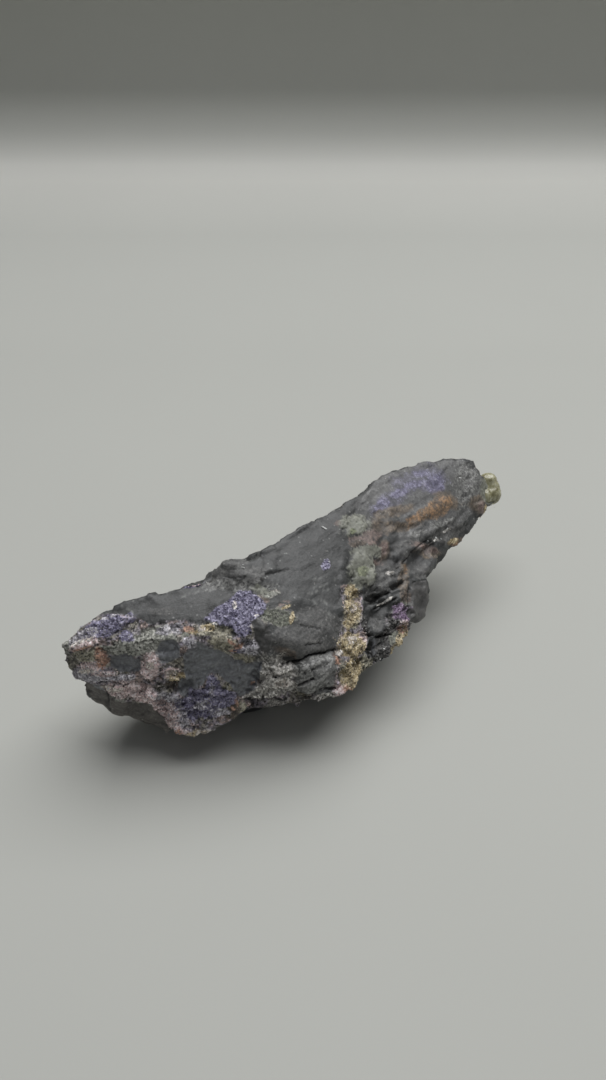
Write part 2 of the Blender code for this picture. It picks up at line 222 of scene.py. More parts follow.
# Where each finish lies, as seen in the frame.  Loose numbers are an ellipse: across, down, half
# width and half height in pixels, and its turn in degrees if it has one.  Pairs are an outline.
nearFront = [(58, 654), (66, 638), (98, 614), (126, 614), (148, 624), (184, 619), (206, 628),
             (232, 637), (256, 618), (270, 634), (256, 690), (238, 714), (206, 746), (164, 738),
             (120, 706), (84, 690)]
lowerLedge = [(256, 662), (272, 668), (294, 668), (296, 692), (316, 697), (343, 694), (342, 703),
              (290, 708), (245, 708), (246, 690)]
goldBand = [(341, 585), (361, 583), (369, 640), (360, 690), (345, 706), (334, 692), (337, 640),
            (344, 610)]
darkFoot = [(366, 602), (404, 588), (413, 622), (400, 656), (374, 682), (358, 690), (358, 650)]
farFace = [(352, 508), (380, 476), (418, 462), (462, 458), (482, 480), (478, 512), (440, 534),
           (400, 538), (400, 512)]
marks = {
    # painted light: the far slab made a lighter grey, as if more light fell on it
    "litGrey": [farFace, (440, 520, 30, 10, 10)],
    # pale granular rock; the far right patch and the two at the hump's foot are painted light, lighting
    # faces turned from the lamp or in a hollow
    "frostAndLight": [
        [(294, 668), (301, 660), (318, 655), (340, 651), (341, 690), (318, 693), (296, 694)],
        (466, 488, 13, 24), (445, 524, 16, 5, 14), (420, 534, 12, 4, 8), (228, 584, 26, 6, 3),
        (254, 590, 20, 5, 10),
    ],
    "slate": [
        [(288, 612), (318, 606), (345, 620), (345, 652), (318, 652), (290, 664), (268, 660),
         (272, 636)],
        [(366, 572), (386, 560), (404, 568), (402, 586), (384, 592), (366, 594)],
        [(390, 545), (420, 536), (456, 520), (470, 526), (448, 545), (432, 538), (404, 560)],
        (236, 574, 30, 8, 4), (228, 569, 20, 10), (378, 622, 6, 10, 10), (423, 572, 11, 8),
        (162, 611, 15, 4),
    ],
    "violet": [(430, 478, 18, 13, 10), (394, 498, 19, 8, 30), (408, 482, 16, 9), (376, 511, 7, 7)],
    "iris": [
        (435, 482, 9, 9, 10), (382, 505, 8, 5, 35), (400, 493, 9, 4, 20), (422, 473, 9, 4, 6),
        (414, 484, 11, 4, 20), (440, 489, 5, 4, 30),
    ],
    "umber": [
        (392, 512, 22, 5, 14), (382, 526, 14, 8), (406, 526, 16, 4, 12), (448, 500, 13, 7, -26),
        (385, 549, 6, 10), (137, 713, 11, 6, -20), (476, 504, 7, 9, -20), (430, 553, 14, 5, -10),
        (404, 578, 5, 16), (284, 651, 9, 4, -10),
    ],
    "dusk": [
        (339, 523, 4, 3), (362, 539, 13, 4, 5), (384, 548, 5, 7), (424, 547, 14, 4, -12),
        (373, 562, 9, 3), (407, 626, 5, 7), (394, 648, 3, 7), (264, 602, 6, 1.5, 10),
        (284, 603, 6, 2, 20), (481, 507, 5, 6, -30), (337, 657, 4, 6), (160, 692, 14, 3, -10),
        (408, 603, 3, 12), (372, 534, 12, 4), (366, 542, 14, 5), (400, 616, 6, 12),
    ],
    "crust": [
        nearFront, lowerLedge, goldBand, (268, 594, 12, 4, 10), (399, 632, 11, 26),
        (278, 617, 17, 9, -8),
    ],
    "coal": [
        [(394, 602), (408, 600), (413, 622), (402, 656), (374, 684), (358, 690), (361, 656),
         (380, 642), (390, 622)], (384, 655, 16, 12), (366, 625, 3, 10),
    ],
    "stain": [
        [(406, 520), (416, 514), (424, 507), (432, 501), (443, 496), (452, 499), (450, 510),
         (439, 518), (428, 518), (416, 522), (409, 528)], (405, 570, 2, 5), (456, 542, 8, 3, 20),
    ],
    "moss": [(278, 617, 17, 9, -8), (404, 598, 4, 8)],
    "smoke": [
        [(250, 617), (262, 622), (271, 634), (267, 662), (252, 664), (256, 640)],
        [(412, 582), (427, 580), (433, 600), (430, 616), (424, 630), (412, 630), (409, 606)],
    ],
    "olive": [
        (87, 655, 14, 6), (222, 643, 15, 8, -5), (215, 632, 17, 6), (245, 658, 10, 5),
        (212, 652, 18, 4, -5), (352, 623, 9, 6), (363, 570, 5, 7), (240, 710, 8, 8),
        (364, 668, 12, 12), (100, 650, 10, 4),
    ],
    "brown": [
        (288, 658, 9, 8), (360, 544, 10, 4), (233, 712, 8, 8), (178, 684, 12, 7), (405, 596, 6, 6),
        (265, 598, 4, 3),
    ],
    "pale": [
        (146, 643, 38, 13, 12), (128, 652, 22, 7, 5), (272, 594, 8, 3, 10), (160, 630, 14, 6, 10),
        (66, 645, 7, 8), (108, 649, 14, 4), (118, 698, 9, 7, 20), (152, 634, 14, 7),
    ],
    "green": [
        (355, 524, 15, 11, 8), (366, 551, 15, 6, 8), (362, 568, 13, 17), (262, 590, 9, 4, -10),
        (355, 586, 8, 5), (373, 552, 9, 5), (397, 639, 5, 8, -20), (186, 632, 5, 5),
        (489, 491, 10, 14),
    ],
    "verdant": [(362, 571, 6, 6), (352, 532, 3, 3)],
    # a silvery crumbly crust; the four small spots where the bright plates sit are painted glint
    "silverAndGlint": [
        (275, 675, 20, 18), (284, 684, 11, 9), (256, 697, 14, 4, 5), (330, 698, 14, 4, 5),
        (278, 706, 14, 4, 5), (386, 601, 6, 1.5, 30), (391, 572, 4, 2), (438, 540, 4, 1.2, 20),
        (448, 530, 3, 1.5, 30), (268, 690, 20, 8, 4),
    ],
    "glass": [
        [(108, 659), (120, 655), (130, 657), (140, 661), (143, 668), (135, 675), (122, 672),
         (111, 667)],
        [(155, 652), (162, 642), (173, 639), (180, 646), (179, 658), (168, 663), (157, 661)],
        [(184, 656), (198, 641), (214, 650), (234, 660), (246, 662), (240, 672), (236, 688),
         (222, 677), (211, 673), (203, 684), (192, 690), (184, 674)],
        [(246, 664), (262, 662), (255, 690), (240, 698), (233, 688), (238, 668)], (96, 690, 9, 6),
        (186, 690, 7, 8), (372, 648, 6, 10),
    ],
    "purple": [
        (106, 627, 25, 9, 22), (126, 636, 8, 6), (193, 583, 10, 3, 12),
        [(205, 618), (214, 610), (228, 602), (240, 592), (252, 592), (266, 604), (262, 614),
         (250, 622), (252, 634), (238, 637), (232, 626), (218, 624)],
        [(204, 688), (209, 675), (216, 677), (223, 688), (237, 693), (236, 702), (226, 710),
         (208, 708), (190, 702), (188, 692)], (200, 713, 20, 7, 5), (326, 565, 4, 5, -30),
        (240, 650, 5, 3), (184, 704, 12, 6, 10),
    ],
    "plum": [(399, 611, 7, 8, -20), (404, 618, 4, 4)],
    "lilac": [
        (166, 629, 10, 5, 10), (178, 628, 6, 5), (82, 637, 16, 5, 24), (190, 643, 8, 5, -40),
        (90, 674, 17, 8), (116, 679, 20, 5, 6), (249, 647, 10, 8), (165, 700, 20, 9, -20),
        (202, 706, 8, 5, 20), (219, 712, 10, 3), (212, 690, 3, 6), (175, 716, 16, 9, -40),
        (112, 617, 12, 1.5, 14),
    ],
    "rose": [
        [(108, 685), (128, 686), (148, 690), (163, 702), (175, 720), (186, 734), (170, 738),
         (158, 722), (146, 705), (130, 697), (110, 694)], (150, 666, 9, 13), (130, 688, 26, 7, -10),
        (403, 625, 4, 5), (168, 712, 9, 14, 35), (184, 734, 12, 5, -15), (86, 645, 16, 3, 18),
        (362, 641, 5, 8), (343, 692, 8, 7, 30), (90, 666, 10, 4), (103, 673, 13, 2.5, -3),
        (116, 689, 9, 5), (171, 672, 9, 5),
    ],
    "ochre": [
        (193, 632, 6, 2, -5), (351, 592, 7, 7), (353, 610, 9, 14), (350, 644, 13, 13),
        (352, 673, 9, 17, -8), (200, 736, 16, 5, 5), (454, 541, 5, 2.5, 20), (484, 508, 3, 3, -20),
        (292, 617, 2, 6, -10), (286, 607, 5, 1.4, 22), (400, 641, 3, 8, -20), (404, 632, 3, 7, -10),
        (394, 652, 4, 6, -30), (208, 628, 7, 4), (348, 624, 6, 5), (176, 676, 8, 4, 5),
    ],
    "rust": [
        (102, 660, 5, 8, 15), (84, 648, 10, 1, 14), (232, 643, 5, 1.8, -35), (239, 646, 5, 1.8, 25),
        (233, 651, 4, 1.6, 10), (252, 684, 3, 1.3, 35), (337, 660, 3, 4), (237, 703, 1.5, 4, 25),
        (233, 709, 3, 1.4, -30), (404, 629, 3, 4), (188, 629, 6, 3), (178, 733, 5, 4),
        (98, 652, 4, 5), (348, 690, 4, 4),
    ],
    "cream": [
        (84, 641, 13, 2, 18), (235, 606, 2, 4), (215, 624, 2.5, 1.5), (257, 616, 2, 1.5, 10),
        (354, 607, 5, 6), (112, 687, 10, 3, -5), (340, 652, 4, 3), (202, 629, 4, 2),
        (205, 733, 10, 3, 5), (282, 683, 7, 4, 10), (150, 664, 4, 4), (88, 670, 8, 3),
        (352, 640, 4, 5), (172, 673, 6, 3),
    ],
    # painted shade: near black in the gaps and under the lip, where shade falls
    "gapShade": [
        [(238, 699), (262, 700), (288, 699), (284, 704), (256, 704)],
        [(366, 595), (373, 592), (380, 594), (387, 590), (386, 594), (379, 600), (371, 602)],
        (396, 586, 6, 1.8, 25), (402, 581, 3, 2), (293, 662, 9, 2.6, -16), (372, 650, 4, 9),
        (284, 603, 5, 1, -10), (260, 580, 4, 1.5), (398, 603, 3, 1.5, 30),
    ],
    # the smooth underside beneath the near rim
    "belly": [
        [(80, 678), (92, 684), (104, 692), (118, 700), (134, 702), (152, 706), (166, 722),
         (178, 740), (150, 728), (120, 720), (96, 704), (84, 690)],
    ],
}

lines = {
    "steps": 1.5,           # points to a pixel
    "wander": 1.2,          # pixels that they stray from their course
    "taper": (5, 0.25),     # how fast they widen from their ends, and the share they start from
    "swell": 0.6,           # how much their width varies
    "least": 0.16,          # the least half width in mm
    "edge": (0.35, 1.35),   # half widths from the middle at which they start to end and are gone
}
# Lines as seen in the frame: half width in pixels, depth in mm, then the points they pass.  Veins
# are only crushed white on the surface and have no depth.
cracks = {
    "main": (1.0, 1.1, [(280, 667), (292, 664), (301, 661), (310, 656), (322, 653), (338, 649)]),
    "upper": (0.5, 0.3, [(306, 645), (313, 644), (321, 643)]),
    "ledgeTop": (0.5, 0.35, [(304, 671), (313, 668), (323, 667)]),
    "ledge": (0.9, 0.8, [(294, 684), (304, 681), (316, 677)]),
    "crest": (0.5, 0.35, [(264, 575), (277, 572), (291, 569)]),
    "face": (0.4, 0.25, [(300, 625), (313, 627), (322, 629)]),
    "far": (0.8, 0.5, [(398, 567), (405, 561), (413, 549), (425, 541), (436, 539)]),
    "step": (0.9, 0.6, [(366, 598), (378, 598), (390, 592), (400, 584)]),
    "slab": (0.9, 0.8, [(378, 607), (388, 603), (396, 598)]),
    "hump": (0.35, 0.15, [(224, 578), (234, 579), (247, 578)]),
    "purple": (0.8, 0.5, [(100, 636), (112, 633), (122, 629)]),
    "footStep": (1.0, 0.9, [(366, 634), (380, 637), (396, 634)]),
    "foot": (0.9, 0.8, [(388, 613), (392, 626), (386, 640)]),
    "knobSide": (0.8, 0.6, [(410, 583), (408, 596), (409, 612), (411, 622)]),
    "knobTop": (0.5, 0.3, [(413, 582), (420, 580), (428, 579)]),
    "corner": (0.5, 0.4, [(314, 694), (324, 690), (338, 688)]),
    "bellyFold": (0.8, 0.4, [(104, 686), (109, 698), (108, 712)]),
    "brim": (0.7, 0.5, [(96, 683), (110, 681), (128, 684)]),
}
veins = {
    "glass": (0.45, [(223, 658), (218, 664), (211, 669)]),
    "scratchOne": (0.5, [(182, 596), (192, 593), (206, 590), (216, 588)]),
    "scratchTwo": (0.5, [(238, 569), (246, 568)]),
    "arcOne": (0.55, [(310, 579), (318, 578), (327, 577)]),
    "arcTwo": (0.6, [(314, 588), (324, 586), (333, 582), (336, 577)]),
    "arcThree": (0.55, [(308, 593), (320, 591), (330, 589)]),
    "flecks": (1.0, [(313, 600), (318, 605)]),
    "fleckRun": (0.9, [(321, 599), (327, 603), (326, 610), (331, 616)]),
    "topEdge": (0.5, [(118, 605), (128, 608), (134, 613)]),
    "lip": (0.6, [(250, 703), (266, 706), (285, 703)]),
}

# Swells and dips of the surface itself: lift in mm, then where.  The soft ones end slowly.
swells = [
    (-0.6, (125, 665, 17, 10, -5)), (-0.3, (169, 648, 10, 8)), (-0.6, (212, 662, 30, 18, 5)),
    (0.35, (87, 656, 14, 6)), (0.7, (88, 643, 18, 4, 18)), (0.6, (105, 674, 34, 7, -4)),
    (1.0, (135, 690, 30, 5, -12)), (0.8, (184, 734, 14, 6, -10)), (0.4, (240, 606, 28, 13)),
    (0.4, (103, 628, 26, 9, 20)), (0.7, (150, 668, 11, 12)), (0.4, (172, 674, 13, 7)),
    (-1.3, (181, 687, 11, 7)), (0.7, (215, 692, 20, 17)), (0.5, (240, 644, 16, 9)),
    (1.0, [(300, 667), (318, 659), (337, 656), (338, 684), (322, 688), (306, 694), (297, 684)]),
    (0.4, [(262, 664), (300, 668), (296, 694), (246, 700)]), (0.6, (350, 645, 13, 42)),
    (0.6, [(368, 572), (386, 564), (402, 570), (402, 580), (384, 588), (366, 590)]),
    (1.0, [(377, 604), (391, 595), (395, 598), (382, 607)]), (-0.6, (378, 622, 8, 10)),
    (0.7, (390, 652, 8, 6)), (0.5, (424, 551, 15, 6, -10)), (0.5, (362, 568, 12, 14)),
    (0.5, (352, 526, 13, 9, 10)), (0.3, (430, 508, 24, 6, 24)), (-1.4, (262, 702, 24, 3, 2)),
    (-0.4, (326, 690, 12, 2, 8)), (-1.0, (375, 597, 8, 3.5, 10)), (-0.8, (397, 585, 7, 2.5, 20)),
    (-0.35, (270, 553, 14, 2, 14)), (-0.9, (288, 661, 9, 6)), (-1.2, (372, 650, 5, 9)),
    (-0.6, (491, 489, 10, 14)),
    (0.7, [(411, 588), (427, 586), (430, 604), (424, 618), (414, 624), (409, 610)]),
    (0.4, (416, 615, 7, 7)), (-0.3, (419, 600, 5, 10)), (0.5, (265, 566, 12, 8, -20)),
    (0.6, (227, 562, 16, 5, -10)), (0.8, (213, 572, 9, 7, -30)), (0.6, (266, 549, 12, 6, -25)),
    (0.8, (433, 567, 8, 8)), (0.8, (480, 509, 6, 7, -30)), (0.8, (477, 489, 11, 18)),
    (0.9, (119, 706, 10, 11)), (-0.5, (141, 710, 9, 8)),
]
softSwells = [(1.1, (236, 577, 26, 9))]
# Faces that broke smooth and those that broke rough; elsewhere the relief is in between.
calmFaces = [
    [(102, 612), (130, 603), (212, 582), (228, 590), (205, 618), (150, 622)],
    [(262, 548), (345, 508), (340, 560), (342, 606), (312, 602), (290, 590), (262, 580)],
    (218, 664, 34, 20), (420, 601, 10, 21), (486, 485, 16, 20), (470, 466, 12, 10, 30),
    (125, 665, 14, 8),
    [(370, 500), (400, 466), (470, 462), (478, 500), (440, 526)],
    [(84, 682), (112, 690), (148, 702), (166, 722), (150, 724), (120, 714), (94, 698)],
]
roughFaces = [
    darkFoot, lowerLedge, (390, 580, 18, 14), (430, 545, 24, 12, 10), (350, 640, 14, 50),
    (178, 690, 40, 24),
]
# Faces whose relief stays low without being evened, and folds that are filled until shallow.
quietFaces = [
    (240, 570, 34, 14), (360, 545, 20, 34),
    [(270, 592), (345, 598), (346, 646), (320, 652), (296, 655), (272, 640)],
]
filledFolds = [(240, 579, 34, 9)]

# How proud each finish stands, the height and size of its cobbles, in mm, how much of the sides
# away from the camera carries it, and how softly it ends.
builds = {
    "litGrey": (0.00, 0.00, 1.0, 0.00, 0.50),
    "frostAndLight": (0.00, 0.00, 1.0, 0.10, 0.80),
    "slate": (0.00, 0.04, 0.6, 0.10, 0.70),
    "violet": (0.00, 0.00, 1.0, 0.05, 0.80),
    "iris": (0.00, 0.00, 1.0, 0.02, 0.90),
    "umber": (0.00, 0.00, 1.0, 0.08, 0.90),
    "dusk": (0.00, 0.03, 0.6, 0.03, 0.90),
    "crust": (0.03, 0.09, 0.7, 0.32, 0.55),
    "coal": (0.00, 0.12, 0.9, 0.06, 0.55),
    "stain": (0.00, 0.00, 1.0, 0.03, 1.00),
    "moss": (0.00, 0.08, 0.7, 0.03, 0.50),
    "smoke": (0.00, 0.00, 1.0, 0.04, 0.40),
    "olive": (0.00, 0.06, 0.8, 0.08, 0.55),
    "brown": (0.00, 0.06, 0.9, 0.08, 0.55),
    "pale": (0.04, 0.10, 0.7, 0.05, 0.55),
    "green": (0.03, 0.015, 0.7, 0.02, 0.60),
    "verdant": (0.03, 0.05, 0.6, 0.01, 0.55),
    "silverAndGlint": (0.00, 0.08, 0.6, 0.04, 0.80),
    "glass": (-0.10, 0.00, 1.0, 0.08, 0.40),
    "purple": (0.07, 0.11, 0.7, 0.05, 0.50),
    "plum": (0.04, 0.09, 0.7, 0.00, 0.55),
    "lilac": (0.05, 0.10, 0.7, 0.04, 0.55),
    "rose": (0.05, 0.10, 0.7, 0.03, 0.70),
    "ochre": (0.06, 0.11, 0.7, 0.03, 0.55),
    "rust": (0.03, 0.00, 1.0, 0.02, 0.85),
    "cream": (0.05, 0.10, 0.7, 0.01, 0.60),
    "gapShade": (0.00, 0.00, 1.0, 0.00, 0.40),
    "belly": (0.00, 0.00, 1.0, 0.00, 0.30),
}


def roughSkin():
    bm = bmesh.new()
    bm.from_mesh(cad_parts[stoneNode].data)
    bmesh.ops.remove_doubles(bm, verts=bm.verts, dist=1e-6)
    return remeshed(bm, skin["voxel"], skin["softening"])


def refineSkin(mesh, busy):
    # faces with crust, cracks or steps are cut once more
    bm = bmesh.new()
    bm.from_mesh(mesh)
    bm.verts.ensure_lookup_table()
    level, softening = skin["busy"]
    edges = [e for e in bm.edges if max(busy[v.index] for v in e.verts) > level]
    bmesh.ops.subdivide_edges(bm, edges=edges, cuts=1, use_grid_fill=True)
    bmesh.ops.triangulate(bm, faces=[f for f in bm.faces if len(f.verts) > 4])
    bmesh.ops.smooth_vert(bm, verts=bm.verts, factor=softening, **allAxes)
    bmesh.ops.recalc_face_normals(bm, faces=bm.faces)
    bm.to_mesh(mesh)
    bm.free()


def readPoints(mesh):
    flat = np.zeros(len(mesh.vertices) * 3)
    mesh.vertices.foreach_get("co", flat)
    return flat.reshape(-1, 3) / mm


def writePoints(mesh, spots):
    mesh.vertices.foreach_set("co", (spots * mm).ravel())
    mesh.update()


def pointNormals(mesh, spots):
    # area-weighted, summed in face order so that each run gives the same
    mesh.calc_loop_triangles()
    corners = np.zeros(len(mesh.loop_triangles) * 3, dtype=np.int32)
    mesh.loop_triangles.foreach_get("vertices", corners)
    corners = corners.reshape(-1, 3)
    a, b, c = (spots[corners[:, i]] for i in range(3))
    cross = np.cross(b - a, c - a)
    normals = np.zeros_like(spots)
    for i in range(3):
        np.add.at(normals, corners[:, i], cross)
    return normals / np.maximum(np.linalg.norm(normals, axis=1), 1e-12)[:, None], corners


def landOn(tree, across, down):
    # a pixel at the very rim moves towards the stone's middle until its ray meets the stone
    tries, share = skin["nudge"]
    for step in range(tries):
        hit = tree.ray_cast(viewPlace, lookRay(across, down))[0]
        if hit is not None:
            return hit
        across += (skin["middle"][0] - across) * share
        down += (skin["middle"][1] - down) * share
    raise ValueError("a mark misses the stone at %g, %g" % (across, down))


class Seen:
    # the skin's points as the camera sees them, with what the marks need of them
    def __init__(self, mesh):
        self.spots = readPoints(mesh)
        self.normals, self.corners = pointNormals(mesh, self.spots)
        self.tree = BVHTree.FromPolygons((self.spots * mm).tolist(), self.corners.tolist())
        away = self.spots - np.array(viewPlace) / mm
        self.depth = away @ np.array(viewForward)
        right, rise = away @ np.array(viewRight), away @ np.array(viewUp)
        self.across = view["width"] / 2 + view["focalPixels"] * right / self.depth
        self.down = view["height"] / 2 - view["focalPixels"] * rise / self.depth
        facing = -np.sum(self.normals * away, axis=1) / np.linalg.norm(away, axis=1)
        self.hidden = smoothStep(*skin["turnedAway"], facing)
        self.warp = sum(share * noiseAt(self.spots, wide, shift) for share, wide, shift in skin["warp"])

    def depthAt(self, across, down):
        return (landOn(self.tree, across, down) - viewPlace).dot(viewForward) / mm

    def lay(self, mark, soft):
        # 1 inside a mark and 0 outside it; soft is how slowly it ends
        if isinstance(mark, list):
            return self.layOutline(mark, soft)
        across, down, halfWide, halfHigh = mark[:4]
        depth = self.depthAt(across, down)
        angle = math.radians(mark[4] if len(mark) > 4 else 0)
        right, rise = self.across - across, down - self.down
        along = (right * math.cos(angle) + rise * math.sin(angle)) / halfWide
        over = (rise * math.cos(angle) - right * math.sin(angle)) / halfHigh
        share, more = skin["reach"]
        reach = max(halfWide, halfHigh) * depth / view["focalPixels"] * share + more
        radius = np.sqrt(along ** 2 + over ** 2 + ((self.depth - depth) / reach) ** 2)
        return smoothStep(1 + soft, 1 - soft, radius + self.warp)

    def layAll(self, places, soft):
        # the strongest of several marks at each point
        return np.max([self.lay(mark, soft) for mark in places], axis=0)

    def layOutline(self, outline, soft):
        middle = np.mean(outline, axis=0)
        size = np.ptp(np.array(outline), axis=0).max()
        depth = self.depthAt(*middle)
        inside = np.zeros(len(self.spots), dtype=bool)
        rim = np.full(len(self.spots), 1e9)
        for (x0, y0), (x1, y1) in zip(outline, outline[1:] + outline[:1]):
            dx, dy = x1 - x0, y1 - y0
            t = np.clip(((self.across - x0) * dx + (self.down - y0) * dy) / (dx * dx + dy * dy), 0, 1)
            rim = np.minimum(rim, np.hypot(self.across - x0 - t * dx, self.down - y0 - t * dy))
            if y0 != y1:
                crossing = x0 + (self.down - y0) * dx / dy
                inside ^= ((y0 > self.down) != (y1 > self.down)) & (self.across < crossing)
        rim[~inside] *= -1
        share, more, ending = skin["outlineReach"]
        reach = size * depth / view["focalPixels"] * share + more
        near = smoothStep(reach + ending, reach, np.abs(self.depth - depth))
        wide = skin["outlineSoft"]
        return near * smoothStep(-wide * soft, wide * soft, rim - wide * self.warp)

    def layLine(self, halfWide, stops):
        # 1 on the line, 0 a half width away; it wanders a little and thins out at its ends
        found, reaches = [], []
        widening, least = lines["taper"]
        lengths = [math.dist(a, b) for a, b in zip(stops, stops[1:])]
        gone = 0.0
        for (x0, y0), (x1, y1), length in zip(stops, stops[1:], lengths):
            steps = max(2, int(length * lines["steps"]))
            for step in range(steps):
                t = step / steps
                share = (gone + length * t) / sum(lengths)
                wander = noise.noise((x0 + share * 40, y0, 3.3)) * lines["wander"]
                across, down = x0 + (x1 - x0) * t, y0 + (y1 - y0) * t + wander
                hit = landOn(self.tree, across, down)
                found.append(hit)
                perPixel = (hit - viewPlace).dot(viewForward) / view["focalPixels"] / mm
                thin = min(1, share * widening + least, (1 - share) * widening + least)
                swell = 1 + lines["swell"] * noise.noise((across * 0.35, down * 0.35, 8.1))
                reaches.append(max(halfWide * perPixel * thin * swell, lines["least"]))
            gone += length
        cast = np.array(found) / mm
        box = np.all((self.spots > cast.min(0) - 3) & (self.spots < cast.max(0) + 3), axis=1)
        kd = KDTree(len(found))
        for i, hit in enumerate(found):
            kd.insert(hit, i)
        kd.balance()
        near = np.zeros(len(self.spots))
        nearest = [kd.find(p) for p in (self.spots[box] * mm).tolist()]
        gaps = np.array([n[2] / mm / reaches[n[1]] for n in nearest])
        near[box] = 1 - smoothStep(*lines["edge"], gaps)
        return near

    def blocks(self, size, shift):
        # the heights of broken blocks: each cell lies at its own level and slope
        stretch = np.array(skin["blockStretch"]) * size
        placed = ((self.spots + 0.5 * size * self.warp[:, None]) / stretch + shift).tolist()
        heights = np.zeros(len(placed))
        for i, p in enumerate(placed):
            cell = noise.voronoi(p)[1][0]
            key = cell * 9.7
            slope = [noise.cell(key + apart) for apart in slopeShifts]
            tilt = sum((a - c) * (s - 0.5) for a, c, s in zip(p, cell, slope))
            heights[i] = noise.cell(key) - 0.5 + tilt
        return heights


# far apart in the noise, so that a block's slopes don't follow its height
slopeShifts = [Vector((17.1, 0, 0)), Vector((0, 23.7, 0)), Vector((0, 0, 31.9))]


def addAttribute(mesh, name, values):
    layer = mesh.attributes.new(name, "FLOAT", "POINT")
    layer.data.foreach_set("value", values.astype(np.float32))


def layFinishes(seen):
    masks = {}
    wide, narrow, ending = skin["patch"]
    for number, (name, places) in enumerate(marks.items()):
        share, soft = builds[name][3:]
        mask = seen.layAll(places, soft)
        if share:
            # patches of the same finish on the sides that the camera doesn't see
            field = (noiseAt(seen.spots, wide, 31.0 + 7.1 * number)
                     + 0.5 * noiseAt(seen.spots, narrow, 3.1 * number) + 0.25 * seen.warp)
            level = np.quantile(field, 1 - share)
            mask = np.maximum(mask, smoothStep(level - ending, level + ending, field) * seen.hidden)
        masks[name] = mask
    crack = np.zeros(len(seen.spots))
    carve = np.zeros(len(seen.spots))
    for halfWide, deep, stops in cracks.values():
        weight = seen.layLine(halfWide, stops)
        np.maximum(crack, weight, out=crack)
        np.maximum(carve, weight * deep, out=carve)
    masks["crack"] = crack
    masks["vein"] = np.max([seen.layLine(*vein) for vein in veins.values()], axis=0)
    return masks, carve


def dips(mesh, spots, normals, rounds):
    # how far each point lies under the mean of its neighbours, in mm
    pairs = np.zeros(len(mesh.edges) * 2, dtype=np.int32)
    mesh.edges.foreach_get("vertices", pairs)
    a, b = pairs.reshape(-1, 2).T
    count = len(spots)
    degree = np.bincount(a, minlength=count) + np.bincount(b, minlength=count)
    mean = spots.copy()
    for step in range(rounds):
        sums = [np.bincount(a, mean[b, i], count) + np.bincount(b, mean[a, i], count) for i in range(3)]
        mean = np.stack([total / degree for total in sums], axis=1)
    return np.sum((mean - spots) * normals, axis=1)


# Finishes that need no finer mesh.
plainMasks = ("litGrey", "frostAndLight", "slate", "violet", "iris", "umber", "dusk", "stain", "smoke", "glass",
              "belly", "crack", "vein")


def liftSkin(mesh, seen, masks, carve):
    # broad swells first, then broken blocks, layers, and the cobbles of the crusts
    spots = seen.spots
    calm = seen.layAll(calmFaces, 0.35)
    rough = seen.layAll(roughFaces, 0.35)
    quiet = np.maximum(calm, seen.layAll(quietFaces, 0.35))
    fold = seen.layAll(filledFolds, 0.50)
    plain, more, less = skin["blockShare"]
    broken = (plain + more * rough) * (1 - less * quiet)
    swellLoss, rippleLoss = skin["calmLoss"]

    high, wide = skin["swell"]
    lift = high * noiseAt(spots, wide, 21.0) * (1 - swellLoss * calm)
    limit = skin["calmLimit"]
    lift += calm * np.clip(dips(mesh, spots, seen.normals, skin["calmPasses"]), -limit, limit)
    filling = np.clip(dips(mesh, spots, seen.normals, skin["foldPasses"]), 0, skin["foldLimit"])
    lift += skin["foldFill"] * fold * filling
    for places, soft in ((swells, 0.40), (softSwells, 0.90)):
        for height, mark in places:
            lift += seen.lay(mark, soft) * height
    bigHigh, bigWide = skin["bigBlocks"]
    smallHigh, smallWide = skin["smallBlocks"]
    lift += broken * (bigHigh * seen.blocks(bigWide, 3.7) + smallHigh * seen.blocks(smallWide, 9.2))
    high, wide = skin["layers"]
    layered = skin["layersLeast"] + high * broken
    lift += layered * noiseAt(spots, wide, 40.0, stretch=skin["layerStretch"])
    high, wide = skin["ripple"]
    lift += high * noiseAt(spots, wide, 17.0) * (1 - rippleLoss * calm)
    high, wide = skin["calmBlocks"]
    lift += high * calm * seen.blocks(wide, 5.1)

    grit = np.zeros(len(spots))
    cobbled = np.zeros(len(spots))
    foot, rippleHigh, rippleWide = skin["cobbles"]
    for name, build in builds.items():
        proud, height, size = build[:3]
        mask = masks[name]
        lift += proud * mask
        if not height:
            # a finish with no cobbles of its own smooths those beneath it
            cobbled *= 1 - 0.9 * mask
            grit *= 1 - mask
            continue
        some = mask > 0.03
        cobbles = cobblesAt(spots[some], size, 2.3 * size)
        cobbled[some] += mask[some] * height * (cobbles - foot)
        ripple = noiseAt(spots[some], size * rippleWide, 9.0)
        cobbled[some] += mask[some] * height * rippleHigh * ripple
        np.maximum(grit, mask * min(1, height / 0.08), out=grit)
    lift += cobbled - carve
    lift *= smoothStep(*skin["foot"], spots[:, 2])
    masks["grit"] = grit
    return lift, fold


def makeSkin():
    mesh = roughSkin()
    seen = Seen(mesh)
    masks, carve = layFinishes(seen)
    busy = np.max([mask for name, mask in masks.items() if name not in plainMasks], axis=0)
    busy = np.maximum(busy * (1 - 0.8 * seen.hidden), masks["crack"])
    refineSkin(mesh, busy)
    seen = Seen(mesh)
    masks, carve = layFinishes(seen)
    print("finishes laid")
    lift, fold = liftSkin(mesh, seen, masks, carve)
    spots = seen.spots + seen.normals * lift[:, None]
    spots[:, 2] = np.maximum(spots[:, 2], 0)
    writePoints(mesh, spots)
    normals, corners = pointNormals(mesh, spots)
    # painted shade and highlight: the dips darken the colour, and the ridges lighten it with their wear
    dip = sum(share * dips(mesh, spots, normals, passes) / full for share, passes, full in skin["pits"])
    masks["pit"] = np.clip(dip, 0, 1) * (1 - skin["foldUnshaded"] * fold)
    masks["ridge"] = np.clip(-dip, 0, 1)
    for name, mask in masks.items():
        addAttribute(mesh, name, mask)
    mesh.shade_smooth()
    print("skin triangles", len(corners))
    return mesh, masks


